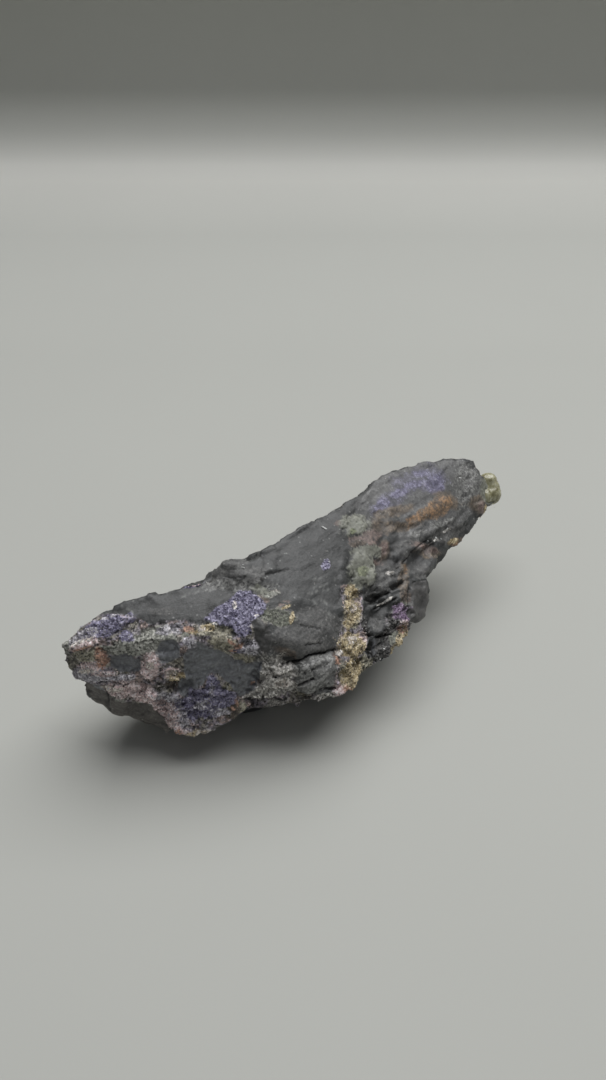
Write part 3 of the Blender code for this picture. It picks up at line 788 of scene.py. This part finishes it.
# dark, middle and light tone of each finish of the stone
tones = {
    "stone": ("#2A2B2B", "#373838", "#4A4B4B"),
    "litGrey": ("#444444", "#585858", "#727271"),
    "frostAndLight": ("#4C4C4B", "#6C6C6A", "#92928F"),
    "slate": ("#353535", "#4D4D4C", "#706F6D"),
    "violet": ("#3A3A42", "#504F5A", "#777585"),
    "iris": ("#413F54", "#615E76", "#908DA6"),
    "umber": ("#4A443E", "#62594F", "#7D7062"),
    "dusk": ("#413936", "#665852", "#93807A"),
    "crust": ("#3E3C3A", "#7B7976", "#C2BEBA"),
    "coal": ("#1D1D1D", "#3A3938", "#8C8A87"),
    "stain": ("#4A413A", "#72604D", "#9F7D5D"),
    "moss": ("#35362F", "#575A4E", "#84867A"),
    "smoke": ("#363635", "#454443", "#555452"),
    "olive": ("#5C5A4E", "#97927F", "#BFBBAA"),
    "brown": ("#322C29", "#50473F", "#706459"),
    "pale": ("#55564F", "#8D8E86", "#C8C8BF"),
    "green": ("#6A6B62", "#7C7D73", "#8F9186"),
    "verdant": ("#4F543F", "#6E735B", "#94997C"),
    "silverAndGlint": ("#716F6A", "#B8B4AE", "#FAF7F2"),
    "glass": ("#5B5D60", "#6E7074", "#86898D"),
    "purple": ("#423E57", "#757189", "#B7B4CB"),
    "plum": ("#48354F", "#7B6681", "#B8A5BD"),
    "lilac": ("#69666D", "#ABA8AF", "#EAE7EC"),
    "rose": ("#A18987", "#E4CDCB", "#FBF3F3"),
    "ochre": ("#736347", "#AC9D7B", "#E9DCBD"),
    "rust": ("#664E42", "#A8806C", "#DAB39E"),
    "cream": ("#9A9088", "#D6CCC3", "#F8F4EF"),
    # near black: painted shade in the gaps
    "gapShade": ("#151413", "#201F1D", "#2D2B28"),
    "belly": ("#413E3B", "#56524E", "#6D6963"),
}
smoothFinishes = ("stone", "litGrey", "slate", "dusk", "smoke", "glass", "gapShade", "belly", "green")
hazes = ("violet", "iris", "stain", "umber")
# The pattern each kind of finish follows, and where its dark and light tones lie on it.
smoothPattern = ("plain", 0.37, 0.63)
hazePattern = ("soft", 0.42, 0.58)
sugarPattern = ("sugar", 0.30, 0.74)

stoneLook = {
    "ior": 1.6,
    # Clouds: mm across, detail, roughness.  Real crystal faces are nearer 0.1 mm, too fine to show,
    # so the grain and the facets are drawn as coarse as they need to be.
    "clouds": {"mottle": (1.111, 3, 0.65), "grain": (0.6667, 3, 0.70), "blotch": (4.348, 4, 0.60),
               "haze": (2.381, 3, 0.60)},
    "facets": 0.4762,                    # mm across
    "layers": (9.091, 2.083, 0.6667),    # mm across along X, Y and Z
    # Each pattern is a mix: its name, the share of the second, the first and the second.
    "mixes": (("mottle", 0.35, "mottle", "facetEdge"), ("sugar", 0.50, "grain", "facetTone"),
              ("sugar", 0.18, "sugar", "blotch"), ("plain", 0.60, "streak", "blotch"),
              ("plain", 0.50, "plain", "grain"), ("haze", 0.30, "haze", "mottle"),
              ("soft", 0.25, "plain", "sugar"), ("soft", 0.40, "soft", "haze"),
              ("relief", 0.30, "grain", "facetTone"), ("relief", 0.35, "relief", "streak")),
    "ragged": (0.85, 0.62, 1.15),        # how ragged a finish's edge is, where it starts and is whole
    # tints that drift through the crust from one patch to the next, and what brings them back up
    "drift": ((0.30, 0.43, 0.52, 0.60, 0.72), ("#8C8A78", "#A5A29C", "#9C98A8", "#AF9E98", "#8E8B9C")),
    "driftGain": (2.6, 2.6, 2.6, 1.0),
    # Specks: mm from one to the next, where they start to fade and end, as shares of that, strength,
    # channel that picks them, share left out, the mask that carries them, if one does, and tone.
    # Two sizes of pinhole in the crusts, near black as painted shade in tiny holes, then light flecks
    # everywhere, pale scratches and painted sparkle of tiny facets.
    "specks": ((2.326, 0.102, 0.17, 1.0, "Blue", 0.40, "grit", "#151312"),
               (1.316, 0.12, 0.20, 1.0, "Blue", 0.40, "grit", "#151312"),
               (1.25, 0.10, 0.24, 0.42, "Green", 0.74, None, "#A4A5A2")),
    "veins": (0.32, "#A2A4A0"),          # strength and tone of the crushed white lines
    "dipShade": 0.62,                        # painted shade: the tone that the dips are darkened to
    "wearAndShading": 1.25,                        # painted highlight and wear: the tone that the ridges are lightened to
    # painted shade: the cracks are coloured near black, as shade falls in them
    "crack": "#0F0E0E",
    "roughness": (0.50, 0.34, 0.70),     # plain faces, glassy patches, crusts
    "bump": (0.0003, 0.70, 1.0),         # height in metres, strength on plain faces and on crusts
}


def stoneMaterial():
    # Broken iron phosphate stone: dull grey faces with a faint grain, dark glassy patches, and
    # crusts of phosphosiderite and its iron oxides that look sugary and stay matt.
    look = stoneLook
    material, tree, shader, place = newMaterial("iron phosphate stone", look["ior"])
    here = {"Vector": place}
    blend = {"data_type": "RGBA"}
    multiply = {"data_type": "RGBA", "blend_type": "MULTIPLY", 0: 1.0}
    maskNodes = {}
    for name in list(tones)[1:] + ["grit", "vein", "pit", "ridge", "crack"]:
        maskNodes[name] = addNode(tree, "Attribute", {"attribute_name": name}).outputs["Fac"]

    found = {}
    for name, (wide, detail, fine) in look["clouds"].items():
        found[name] = addNode(tree, "TexNoise", {"Scale": perMetre(wide), "Detail": detail,
                                                 "Roughness": fine}, here)
    facets = addNode(tree, "TexVoronoi", {"Scale": perMetre(look["facets"])}, here)
    parts = addNode(tree, "SeparateColor", {}, {"Color": facets.outputs["Color"]})
    found["facetTone"], found["facetEdge"] = parts.outputs["Red"], parts.outputs["Green"]
    layers = addNode(tree, "Mapping", {"Scale": [perMetre(wide) for wide in look["layers"]]}, here)
    found["streak"] = addNode(tree, "TexNoise", {"Scale": 1.0, "Detail": 3.0, "Roughness": 0.6},
                              {"Vector": layers})
    for name, share, first, second in look["mixes"]:
        found[name] = addNode(tree, "Mix", {0: share}, {2: found[first], 3: found[second]})

    colour = None
    ragged, start, whole = look["ragged"]
    for name, finishTones in tones.items():
        hazy = name in hazes
        pattern, dark, light = smoothPattern if name in smoothFinishes else sugarPattern
        if hazy:
            pattern, dark, light = hazePattern
        top = addNode(tree, "ValToRGB", {}, {"Fac": found[pattern]})
        setStops(top, (dark, 0.5, light), finishTones)
        if name == "crust":
            drift = addNode(tree, "ValToRGB", {}, {"Fac": found["blotch"]})
            setStops(drift, *look["drift"])
            top = addNode(tree, "Mix", multiply, {6: top, 7: drift}).outputs[2]
            top = addNode(tree, "Mix", {**multiply, 7: look["driftGain"]}, {6: top}).outputs[2]
        if colour is None:
            colour = top
            continue
        broken = addNode(tree, "Math", {"operation": "MULTIPLY_ADD", 1: ragged},
                         {0: found["haze" if hazy else "mottle"], 2: maskNodes[name]})
        share = addNode(tree, "MapRange", {"interpolation_type": "SMOOTHSTEP", 1: start, 2: whole},
                        {0: broken})
        colour = addNode(tree, "Mix", blend, {0: share, 6: colour, 7: top}).outputs[2]

    # pinholes painted as shade, then flecks that are partly painted sparkle
    for wide, fade, end, strength, channel, bare, mask, tone in look["specks"]:
        cell = addNode(tree, "TexVoronoi", {"Scale": perMetre(wide)}, here)
        speck = addNode(tree, "MapRange", {1: fade, 2: end, 3: strength, 4: 0.0},
                        {0: cell.outputs["Distance"]})
        parts = addNode(tree, "SeparateColor", {}, {"Color": cell.outputs["Color"]})
        kept = addNode(tree, "Math", {"operation": "GREATER_THAN", 1: bare},
                       {0: parts.outputs[channel]})
        speck = addNode(tree, "Math", {"operation": "MULTIPLY"}, {0: speck, 1: kept})
        if mask:
            speck = addNode(tree, "Math", {"operation": "MULTIPLY"}, {0: speck, 1: maskNodes[mask]})
        colour = addNode(tree, "Mix", {**blend, 7: toLinear(tone)}, {0: speck, 6: colour}).outputs[2]

    strength, tone = look["veins"]
    vein = addNode(tree, "Math", {"operation": "MULTIPLY", 1: strength}, {0: maskNodes["vein"]})
    colour = addNode(tree, "Mix", {**blend, 7: toLinear(tone)}, {0: vein, 6: colour}).outputs[2]
    # painted shade in the dips, and painted highlight with wear on the ridges
    dipShade = addNode(tree, "MapRange", {3: 1.0, 4: look["dipShade"]}, {0: maskNodes["pit"]})
    wearAndShading = addNode(tree, "MapRange", {3: 1.0, 4: look["wearAndShading"]}, {0: maskNodes["ridge"]})
    wearAndShading = addNode(tree, "Math", {"operation": "MULTIPLY"}, {0: dipShade, 1: wearAndShading})
    colour = addNode(tree, "Mix", multiply, {6: colour, 7: wearAndShading}).outputs[2]
    # painted shade in the cracks
    colour = addNode(tree, "Mix", {**blend, 7: toLinear(look["crack"])},
                     {0: maskNodes["crack"], 6: colour}).outputs[2]

    plainRough, glassRough, crustRough = look["roughness"]
    rough = addNode(tree, "MapRange", {3: plainRough, 4: glassRough}, {0: maskNodes["glass"]})
    rough = addNode(tree, "Mix", {3: crustRough}, {0: maskNodes["grit"], 2: rough})
    high, plainBump, crustBump = look["bump"]
    strength = addNode(tree, "MapRange", {3: plainBump, 4: crustBump}, {0: maskNodes["grit"]})
    bump = addNode(tree, "Bump", {"Distance": high}, {"Strength": strength, "Height": found["relief"]})
    link(tree, shader, {"Base Color": colour, "Roughness": rough, "Normal": bump})
    return material


# Each kind of small crystal: the finish it grows on, grains per square mm, smallest and largest
# width, shape, how far it stands out as a share of its height, roughness and its three tones.
grains = {
    "purple_druse": {
        "on": "purple", "perArea": 5.5, "width": (0.13, 0.42), "shape": "prism", "stand": 0.15,
        "rough": 0.38, "tones": ("#3F3B55", "#75718B", "#B8B4CA")},
    "plum_druse": {
        "on": "plum", "perArea": 5.5, "width": (0.13, 0.42), "shape": "prism", "stand": 0.15,
        "rough": 0.38, "tones": ("#45334D", "#7B6681", "#BCAAC2")},
    "lilac_druse": {
        "on": "lilac", "perArea": 4.0, "width": (0.13, 0.40), "shape": "prism", "stand": 0.12,
        "rough": 0.40, "tones": ("#67646C", "#A5A1AA", "#E8E5EA")},
    "crust_grit": {
        "on": "crust", "perArea": 1.7, "width": (0.13, 0.42), "shape": "lump", "stand": 0.10,
        "rough": 0.55, "tones": ("#403E3C", "#817E7A", "#CCC8C4")},
    "coal_glints": {
        "on": "coal", "perArea": 2.4, "width": (0.16, 0.50), "shape": "plate", "stand": 0.15,
        "rough": 0.22, "tones": ("#222222", "#464544", "#A8A6A3")},
    "pale_crust": {
        "on": "pale", "perArea": 2.0, "width": (0.13, 0.42), "shape": "lump", "stand": 0.12,
        "rough": 0.60, "tones": ("#4B4C47", "#82837B", "#C4C4BC")},
    "green_grains": {
        "on": "verdant", "perArea": 3.0, "width": (0.13, 0.30), "shape": "lump", "stand": 0.05,
        "rough": 0.55, "tones": ("#5A5E46", "#7A7F66", "#A2A68B")},
    "olive_grit": {
        "on": "olive", "perArea": 2.2, "width": (0.13, 0.34), "shape": "lump", "stand": 0.08,
        "rough": 0.60, "tones": ("#45433B", "#7F7B6D", "#B9B4A3")},
    "ochre_grains": {
        "on": "ochre", "perArea": 6.0, "width": (0.13, 0.38), "shape": "prism", "stand": 0.18,
        "rough": 0.45, "tones": ("#766547", "#B5A682", "#F1E7CC")},
    "rust_grains": {
        "on": "rust", "perArea": 3.0, "width": (0.13, 0.36), "shape": "lump", "stand": 0.10,
        "rough": 0.60, "tones": ("#5D463A", "#9A7461", "#CFA791")},
    "stain_grains": {
        "on": "stain", "perArea": 2.0, "width": (0.13, 0.34), "shape": "lump", "stand": 0.05,
        "rough": 0.60, "tones": ("#57483B", "#816852", "#B2927B")},
    "violet_dust": {
        "on": "violet", "perArea": 1.2, "width": (0.13, 0.30), "shape": "lump", "stand": 0.02,
        "rough": 0.50, "tones": ("#464456", "#67647A", "#9A97AB")},
    "rose_crust": {
        "on": "rose", "perArea": 3.6, "width": (0.13, 0.40), "shape": "lump", "stand": 0.12,
        "rough": 0.55, "tones": ("#8A7473", "#DCC4C2", "#FBF1F1")},
    "cream_crust": {
        "on": "cream", "perArea": 4.0, "width": (0.13, 0.42), "shape": "lump", "stand": 0.15,
        "rough": 0.50, "tones": ("#8F857C", "#C6BCB2", "#F4F0EA")},
    "silver_grains": {
        "on": "silverAndGlint", "perArea": 8.0, "width": (0.13, 0.36), "shape": "plate", "stand": 0.12,
        "rough": 0.30, "tones": ("#625F5A", "#BAB6AF", "#FCFAF6")},
}
grainsGiveWay = ("crack", "gapShade", "glass", "belly", "smoke")
scatter = {
    "seed": 100,                 # each kind adds its own number
    "cover": (0.05, 0.9),        # share of the finish at which grains start and are all there
    "above": 1.0,                # none lower than this over the floor
    "lean": 0.45,                # how far they lean from upright
    "small": 1.8,                # over 1 makes small ones commoner
    "wide": (0.75, 1.2),         # the other width and the height, as shares of the width
    "tall": (0.7, 1.3),
    "sunk": 0.35,                # share of the height that is under the surface
    "shade": (0.5, 0.22),        # middle and spread of their tones
    "ior": 1.65,
    "cloud": (0.5556, 0.30),     # mm across, and its share in a grain's shade
    "stops": (0.15, 0.5, 0.90),
    "roughness": (0.08, 0.15),   # how far the clouds take it down and up
}


def grainShape(kind):
    bm = bmesh.new()
    if kind == "prism":
        # a short six-sided crystal with a blunt end
        bmesh.ops.create_cone(bm, cap_ends=True, segments=6, radius1=0.46, radius2=0.40, depth=1.0)
        top = [f for f in bm.faces if f.calc_center_median().z > 0.4]
        bmesh.ops.inset_region(bm, faces=top, thickness=0.16)
        bmesh.ops.translate(bm, verts=top[0].verts, vec=(0, 0, 0.2))
    elif kind == "plate":
        bmesh.ops.create_cube(bm, size=1.0)
        bmesh.ops.scale(bm, verts=bm.verts, vec=(1.0, 0.75, 0.30))
        upright = [e for e in bm.edges if abs(e.verts[0].co.z - e.verts[1].co.z) > 0.1]
        bmesh.ops.bevel(bm, geom=upright, offset=0.2, offset_type="OFFSET", affect="EDGES",
                        segments=1, profile=0.5, material=-1)
    else:
        bmesh.ops.create_icosphere(bm, subdivisions=1, radius=0.5)
        for vert in bm.verts:
            vert.co *= 1 + 0.25 * noise.noise(vert.co * 3.1)
    bmesh.ops.triangulate(bm, faces=bm.faces)
    corners = np.array([v.co for v in bm.verts])
    # triangulate's own order can change from run to run, so the faces are put in one
    faces = []
    for face in bm.faces:
        loop = [v.index for v in face.verts]
        start = loop.index(min(loop))
        faces.append(loop[start:] + loop[:start])
    bm.free()
    return corners, np.array(sorted(faces))


def grainMaterial(name, kind):
    # Small crystals and grains, each its own shade, with a glassy or earthy face by kind.
    material, tree, shader, place = newMaterial(name.replace("_", " "), scatter["ior"])
    shade = addNode(tree, "Attribute", {"attribute_name": "tone"}).outputs["Fac"]
    wide, share = scatter["cloud"]
    cloud = addNode(tree, "TexNoise", {"Scale": perMetre(wide), "Detail": 2.0}, {"Vector": place})
    both = addNode(tree, "Mix", {0: share}, {2: shade, 3: cloud})
    ramp = addNode(tree, "ValToRGB", {}, {"Fac": both})
    setStops(ramp, scatter["stops"], kind["tones"])
    less, more = scatter["roughness"]
    rough = addNode(tree, "MapRange", {3: kind["rough"] - less, 4: kind["rough"] + more}, {0: cloud})
    link(tree, shader, {"Base Color": ramp, "Roughness": rough})
    return material


def scatterGrains(name, kind, number, surface, corners, masks):
    rng = np.random.default_rng(scatter["seed"] + number)
    a, b, c = (surface[corners[:, i]] for i in range(3))
    cross = np.cross(b - a, c - a)
    area = np.linalg.norm(cross, axis=1) / 2
    up = cross / np.maximum(2 * area, 1e-12)[:, None]
    cover = masks[kind["on"]][corners].mean(axis=1)
    taken = np.max([masks[k] for k in grainsGiveWay], axis=0)[corners].mean(axis=1)
    weight = area * smoothStep(*scatter["cover"], cover) * (1 - taken) * (a[:, 2] > scatter["above"])
    count = int(weight.sum() * kind["perArea"])
    picked = rng.choice(len(corners), size=count, p=weight / weight.sum())
    u, v = rng.random(count), rng.random(count)
    flip = u + v > 1
    u[flip], v[flip] = 1 - u[flip], 1 - v[flip]
    spots = a[picked] + u[:, None] * (b - a)[picked] + v[:, None] * (c - a)[picked]
    axis = up[picked] + rng.normal(0, scatter["lean"], (count, 3))
    axis /= np.linalg.norm(axis, axis=1)[:, None]
    side = np.cross(axis, rng.normal(0, 1, (count, 3)))
    side /= np.linalg.norm(side, axis=1)[:, None]
    other = np.cross(axis, side)
    low, high = kind["width"]
    width = low + (high - low) * rng.random(count) ** scatter["small"]
    tall = width * rng.uniform(*scatter["tall"], count)
    wide = width * rng.uniform(*scatter["wide"], count)
    spots = spots + axis * ((kind["stand"] - scatter["sunk"]) * tall)[:, None]
    shapePoints, shapeFaces = grainShape(kind["shape"])
    placed = np.repeat(spots[:, None, :], len(shapePoints), axis=1)
    for i, (along, size) in enumerate(((side, width), (other, wide), (axis, tall))):
        placed += along[:, None, :] * (shapePoints[None, :, i, None] * size[:, None, None])
    placed[:, :, 2] = np.maximum(placed[:, :, 2], 0.02)
    faces = shapeFaces[None, :, :] + (np.arange(count) * len(shapePoints))[:, None, None]
    mesh = bpy.data.meshes.new(name)
    mesh.from_pydata((placed.reshape(-1, 3) * mm).tolist(), [], faces.reshape(-1, 3).tolist())
    tone = np.clip(rng.normal(*scatter["shade"], count), 0, 1)
    addAttribute(mesh, "tone", np.repeat(tone, len(shapePoints)))
    mesh.update()
    print(name, count, "grains")
    return linkPiece(name, mesh, grainMaterial(name, kind))


# Each bead: its lumps as across, down, half width, half height in pixels, turn in degrees and mm
# behind the surface; mm between its points; the height of its ripples in mm; its finish.
beads = {
    "green_bead": {
        "lumps": [(493, 494, 9, 10.5, 8, 1.2), (488, 481, 10, 8.5, -20, 1.2), (486, 496, 7, 9, 0, 1.6),
                  (492, 487, 8.5, 8, 0, 0.9), (486, 490, 9, 10, 0, 3.2)],
        "voxel": 0.22, "smoothing": 2, "ripple": 0.07, "cloud": 1.4286, "stops": (0.34, 0.5, 0.66),
        "tones": ("#8A8462", "#B9B591", "#E0DEC2"), "rough": (0.11, 0.28), "clear": 0.40,
        "ior": 1.62, "absorbs": "#C3C28A", "density": 140.0},
}


def beadMaterial(name, bead):
    # A glassy bead of phosphate: wet-looking and see-through at its rim, tinted by its depth.
    material, tree, shader, place = newMaterial("glassy " + name.replace("_", " "), bead["ior"])
    shader.inputs["Transmission Weight"].default_value = bead["clear"]
    cloud = addNode(tree, "TexNoise", {"Scale": perMetre(bead["cloud"]), "Detail": 4.0,
                                       "Roughness": 0.6}, {"Vector": place})
    ramp = addNode(tree, "ValToRGB", {}, {"Fac": cloud})
    setStops(ramp, bead["stops"], bead["tones"])
    smoothest, roughest = bead["rough"]
    rough = addNode(tree, "MapRange", {3: smoothest, 4: roughest}, {0: cloud})
    link(tree, shader, {"Base Color": ramp, "Roughness": rough})
    depth = addNode(tree, "VolumeAbsorption",
                    {"Color": toLinear(bead["absorbs"]), "Density": bead["density"]})
    link(tree, tree.nodes["Material Output"], {"Volume": depth})
    return material


def addBead(name, bead, tree):
    bm = bmesh.new()
    for across, down, halfWide, halfHigh, turn, sink in bead["lumps"]:
        hit = landOn(tree, across, down)
        perPixel = (hit - viewPlace).dot(viewForward) / view["focalPixels"]
        turned = Matrix.Rotation(math.radians(turn), 3, viewForward)
        axes = Matrix((turned @ viewRight * halfWide * perPixel, turned @ viewUp * halfHigh * perPixel,
                       -viewForward * (halfWide + halfHigh) / 2 * perPixel)).transposed().to_4x4()
        axes.translation = hit + viewForward * sink * mm
        bmesh.ops.create_icosphere(bm, subdivisions=4, radius=1.0, matrix=axes)
    mesh = remeshed(bm, bead["voxel"], bead["smoothing"])
    spots = readPoints(mesh)
    normals = pointNormals(mesh, spots)[0]
    ripple = noiseAt(spots, 1.6, 4.4) + 0.4 * noiseAt(spots, 0.7, 8.8)
    spots += normals * (bead["ripple"] * ripple)[:, None]
    spots[:, 2] = np.maximum(spots[:, 2], 0.05)
    writePoints(mesh, spots)
    mesh.shade_smooth()
    linkPiece(name, mesh, beadMaterial(name, bead))


# Bright cleavage plates, near white as painted glints: across, down in pixels, length and width in mm,
# turn in degrees.
glints = [
    (324, 528, 1.3, 0.5, -40), (329, 562, 0.4, 0.25, -30), (390, 572, 0.5, 0.3, 30),
    (393, 574, 0.3, 0.25, 0), (447, 529, 0.8, 0.4, 50), (436, 538, 0.7, 0.4, -40),
    (441, 539, 0.5, 0.3, -10), (428, 541, 0.4, 0.3, 0), (384, 649, 0.4, 0.3, 0),
    (377, 658, 0.5, 0.3, 20), (380, 659, 0.5, 0.25, 0), (369, 632, 0.3, 0.2, 0),
    (388, 628, 0.8, 0.25, -40), (386, 601, 0.8, 0.25, 30), (287, 668, 0.35, 0.3, 0),
    (283, 684, 0.4, 0.3, 0), (234, 606, 0.6, 0.4, 70), (257, 616, 0.5, 0.35, 0),
    (215, 624, 0.6, 0.3, 0), (80, 641, 0.6, 0.3, 20), (88, 641, 0.7, 0.3, 10),
    (488, 494, 0.5, 0.4, 0), (460, 478, 0.5, 0.3, 0), (452, 486, 0.4, 0.25, 0),
    (243, 565, 0.5, 0.15, 10), (243, 568, 0.7, 0.15, 5),
]
glintLook = {
    "thick": 0.18,
    "proud": 0.05,
    "lean": 0.3,          # how far they lean from the surface
    "chip": 0.35,         # how far one corner is broken back
    "ior": 1.7,
    "cloud": 0.4,         # mm across
    "stops": (0.35, 0.65),
    # near white: painted glint
    "tones": ("#9A9B99", "#D9DAD8"),
    "rough": (0.12, 0.35),
}


def glintMaterial():
    # Fresh cleavage with a soft mirror in it; its near-white colour is painted glint.
    material, tree, shader, place = newMaterial("cleavage with painted glint", glintLook["ior"])
    cloud = addNode(tree, "TexNoise", {"Scale": perMetre(glintLook["cloud"]), "Detail": 2.0},
                    {"Vector": place})
    ramp = addNode(tree, "ValToRGB", {}, {"Fac": cloud})
    setStops(ramp, glintLook["stops"], glintLook["tones"])
    smoothest, roughest = glintLook["rough"]
    rough = addNode(tree, "MapRange", {3: smoothest, 4: roughest}, {0: cloud})
    link(tree, shader, {"Base Color": ramp, "Roughness": rough})
    return material


def addGlints(tree):
    bm = bmesh.new()
    for number, (across, down, long, wide, turn) in enumerate(glints):
        hit, normal = tree.ray_cast(viewPlace, lookRay(across, down))[:2]
        if hit is None:
            continue
        lean = Vector((noise.noise((number, 1.5, 0)), noise.noise((number, 7.5, 0)), 0))
        up = (normal + lean * glintLook["lean"]).normalized()
        side = (viewRight * math.cos(math.radians(turn)) + viewUp * math.sin(math.radians(turn)))
        side = (side - up * side.dot(up)).normalized()
        axes = Matrix((side * long * mm, up.cross(side) * wide * mm, up * glintLook["thick"] * mm))
        axes = axes.transposed().to_4x4()
        axes.translation = hit + up * glintLook["proud"] * mm
        cube = bmesh.ops.create_cube(bm, size=1.0, matrix=axes)
        corner = cube["verts"][number % 8]
        corner.co += (hit - corner.co) * glintLook["chip"]
    mesh = bpy.data.meshes.new("bright_plates")
    bmesh.ops.recalc_face_normals(bm, faces=bm.faces)
    bm.to_mesh(mesh)
    bm.free()
    linkPiece("bright_plates", mesh, glintMaterial())


# metres, unless a note says otherwise; flatTo and back are in front of and behind the camera
stage = {
    "flatTo": 0.61,      # where the sheet starts to rise
    "bend": 0.045,
    "bendSteps": 12,
    "rise": 0.45,
    "halfWide": 1.6,
    "back": 1.6,
    # how the sheet's tone changes along it, from where it starts to rise: painted light in a bright
    # band at the bend, and painted shade up the rise
    "at": (-0.62, -0.25, -0.10, 0.0, 0.02, 0.045, 0.07, 0.2),
    "tones": ("#B8B9B4", "#B7B8B3", "#C1C2BD", "#D8D8D3", "#D8D8D3", "#B6B7B2", "#A3A49F", "#97988F"),
    "clouds": (166.67, 0.97, 1.03),   # mm across, darkest and lightest
    "roughness": 0.9,
    "gloss": 0.1,
}


def paperMaterial(positions):
    # Matt paper with faint clouds and no gloss; its tone along the sheet is painted light at the bend
    # and painted shade up the rise.
    material, tree, shader, place = newMaterial("matt paper", 1.5)
    shader.inputs["Roughness"].default_value = stage["roughness"]
    shader.inputs["Specular IOR Level"].default_value = stage["gloss"]
    wide, darkest, lightest = stage["clouds"]
    tooth = addNode(tree, "TexNoise", {"Scale": perMetre(wide), "Detail": 3.0}, {"Vector": place})
    shade = addNode(tree, "MapRange", {3: darkest, 4: lightest}, {0: tooth})
    along = addNode(tree, "Attribute", {"attribute_name": "run"}).outputs["Fac"]
    ramp = addNode(tree, "ValToRGB", {}, {"Fac": along})
    setStops(ramp, positions, stage["tones"])
    tinted = addNode(tree, "Mix", {"data_type": "RGBA", "blend_type": "MULTIPLY", 0: 1.0},
                     {6: ramp, 7: shade}).outputs[2]
    link(tree, shader, {"Base Color": tinted})
    return material


def addStage():
    # one sheet of matt paper that curves up behind the stone
    bm = bmesh.new()
    foot = Vector((viewPlace.x, viewPlace.y, 0))
    profile = [(-stage["back"], 0.0), (stage["flatTo"], 0.0)]
    for step in range(1, stage["bendSteps"] + 1):
        angle = math.pi / 2 * step / stage["bendSteps"]
        profile.append((stage["flatTo"] + stage["bend"] * math.sin(angle),
                        stage["bend"] * (1 - math.cos(angle))))
    profile.append((stage["flatTo"] + stage["bend"], stage["rise"]))
    side = viewRight * stage["halfWide"]
    runs = [0.0]
    for before, after in zip(profile, profile[1:]):
        runs.append(runs[-1] + math.dist(before, after))
    line = [bm.verts.new(foot + viewLevel * d + Vector((0, 0, z)) - side) for d, z in profile]
    edges = [bm.edges.new(pair) for pair in zip(line, line[1:])]
    grown = bmesh.ops.extrude_edge_only(bm, edges=edges)["geom"]
    bmesh.ops.translate(bm, verts=[g for g in grown if isinstance(g, bmesh.types.BMVert)], vec=side * 2)
    bmesh.ops.recalc_face_normals(bm, faces=bm.faces)
    mesh = bpy.data.meshes.new("paper_sheet")
    bm.to_mesh(mesh)
    bm.free()
    mesh.shade_smooth()
    first, last = stage["at"][0], stage["at"][-1]
    flat = runs[1]
    addAttribute(mesh, "run", np.array([(r - flat - first) / (last - first) for r in runs + runs]))
    mesh.materials.append(paperMaterial([(d - first) / (last - first) for d in stage["at"]]))
    sheet = bpy.data.objects.new("paper_sheet", mesh)
    bpy.context.scene.collection.objects.link(sheet)


light = {
    "place": (0.42, 0.24, 0.92),   # metres
    "size": 1.25,                  # metres
    "power": 16.8,                 # watts
    "sky": "#F4F6FA",
    "skyStrength": 0.155,
}


def addLight():
    lamp = bpy.data.lights.new("soft_box", "AREA")
    lamp.shape = "SQUARE"
    lamp.size = light["size"]
    lamp.energy = light["power"]
    holder = bpy.data.objects.new("soft_box", lamp)
    holder.location = light["place"]
    holder.rotation_mode = "QUATERNION"
    holder.rotation_quaternion = Vector(light["place"]).to_track_quat("Z", "Y")
    bpy.context.scene.collection.objects.link(holder)
    world = bpy.data.worlds.new("studio")
    world.use_nodes = True
    sky = world.node_tree.nodes["Background"]
    sky.inputs["Color"].default_value = toLinear(light["sky"])
    sky.inputs["Strength"].default_value = light["skyStrength"]
    bpy.context.scene.world = world
    bpy.context.scene.view_settings.view_transform = "Standard"


addCamera()
print("camera placed")
skinMesh, skinMasks = makeSkin()
stonePiece = linkPiece("stone_skin", skinMesh, stoneMaterial())
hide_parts(stoneNode)
surface = readPoints(skinMesh)
faceCorners = pointNormals(skinMesh, surface)[1]
for number, (name, kind) in enumerate(grains.items()):
    scatterGrains(name, kind, number, surface, faceCorners, skinMasks)
surfaceTree = BVHTree.FromPolygons((surface * mm).tolist(), faceCorners.tolist())
for name, bead in beads.items():
    addBead(name, bead, surfaceTree)
addGlints(surfaceTree)
print("beads and bright plates set")
addStage()
addLight()
print("floor and light set")
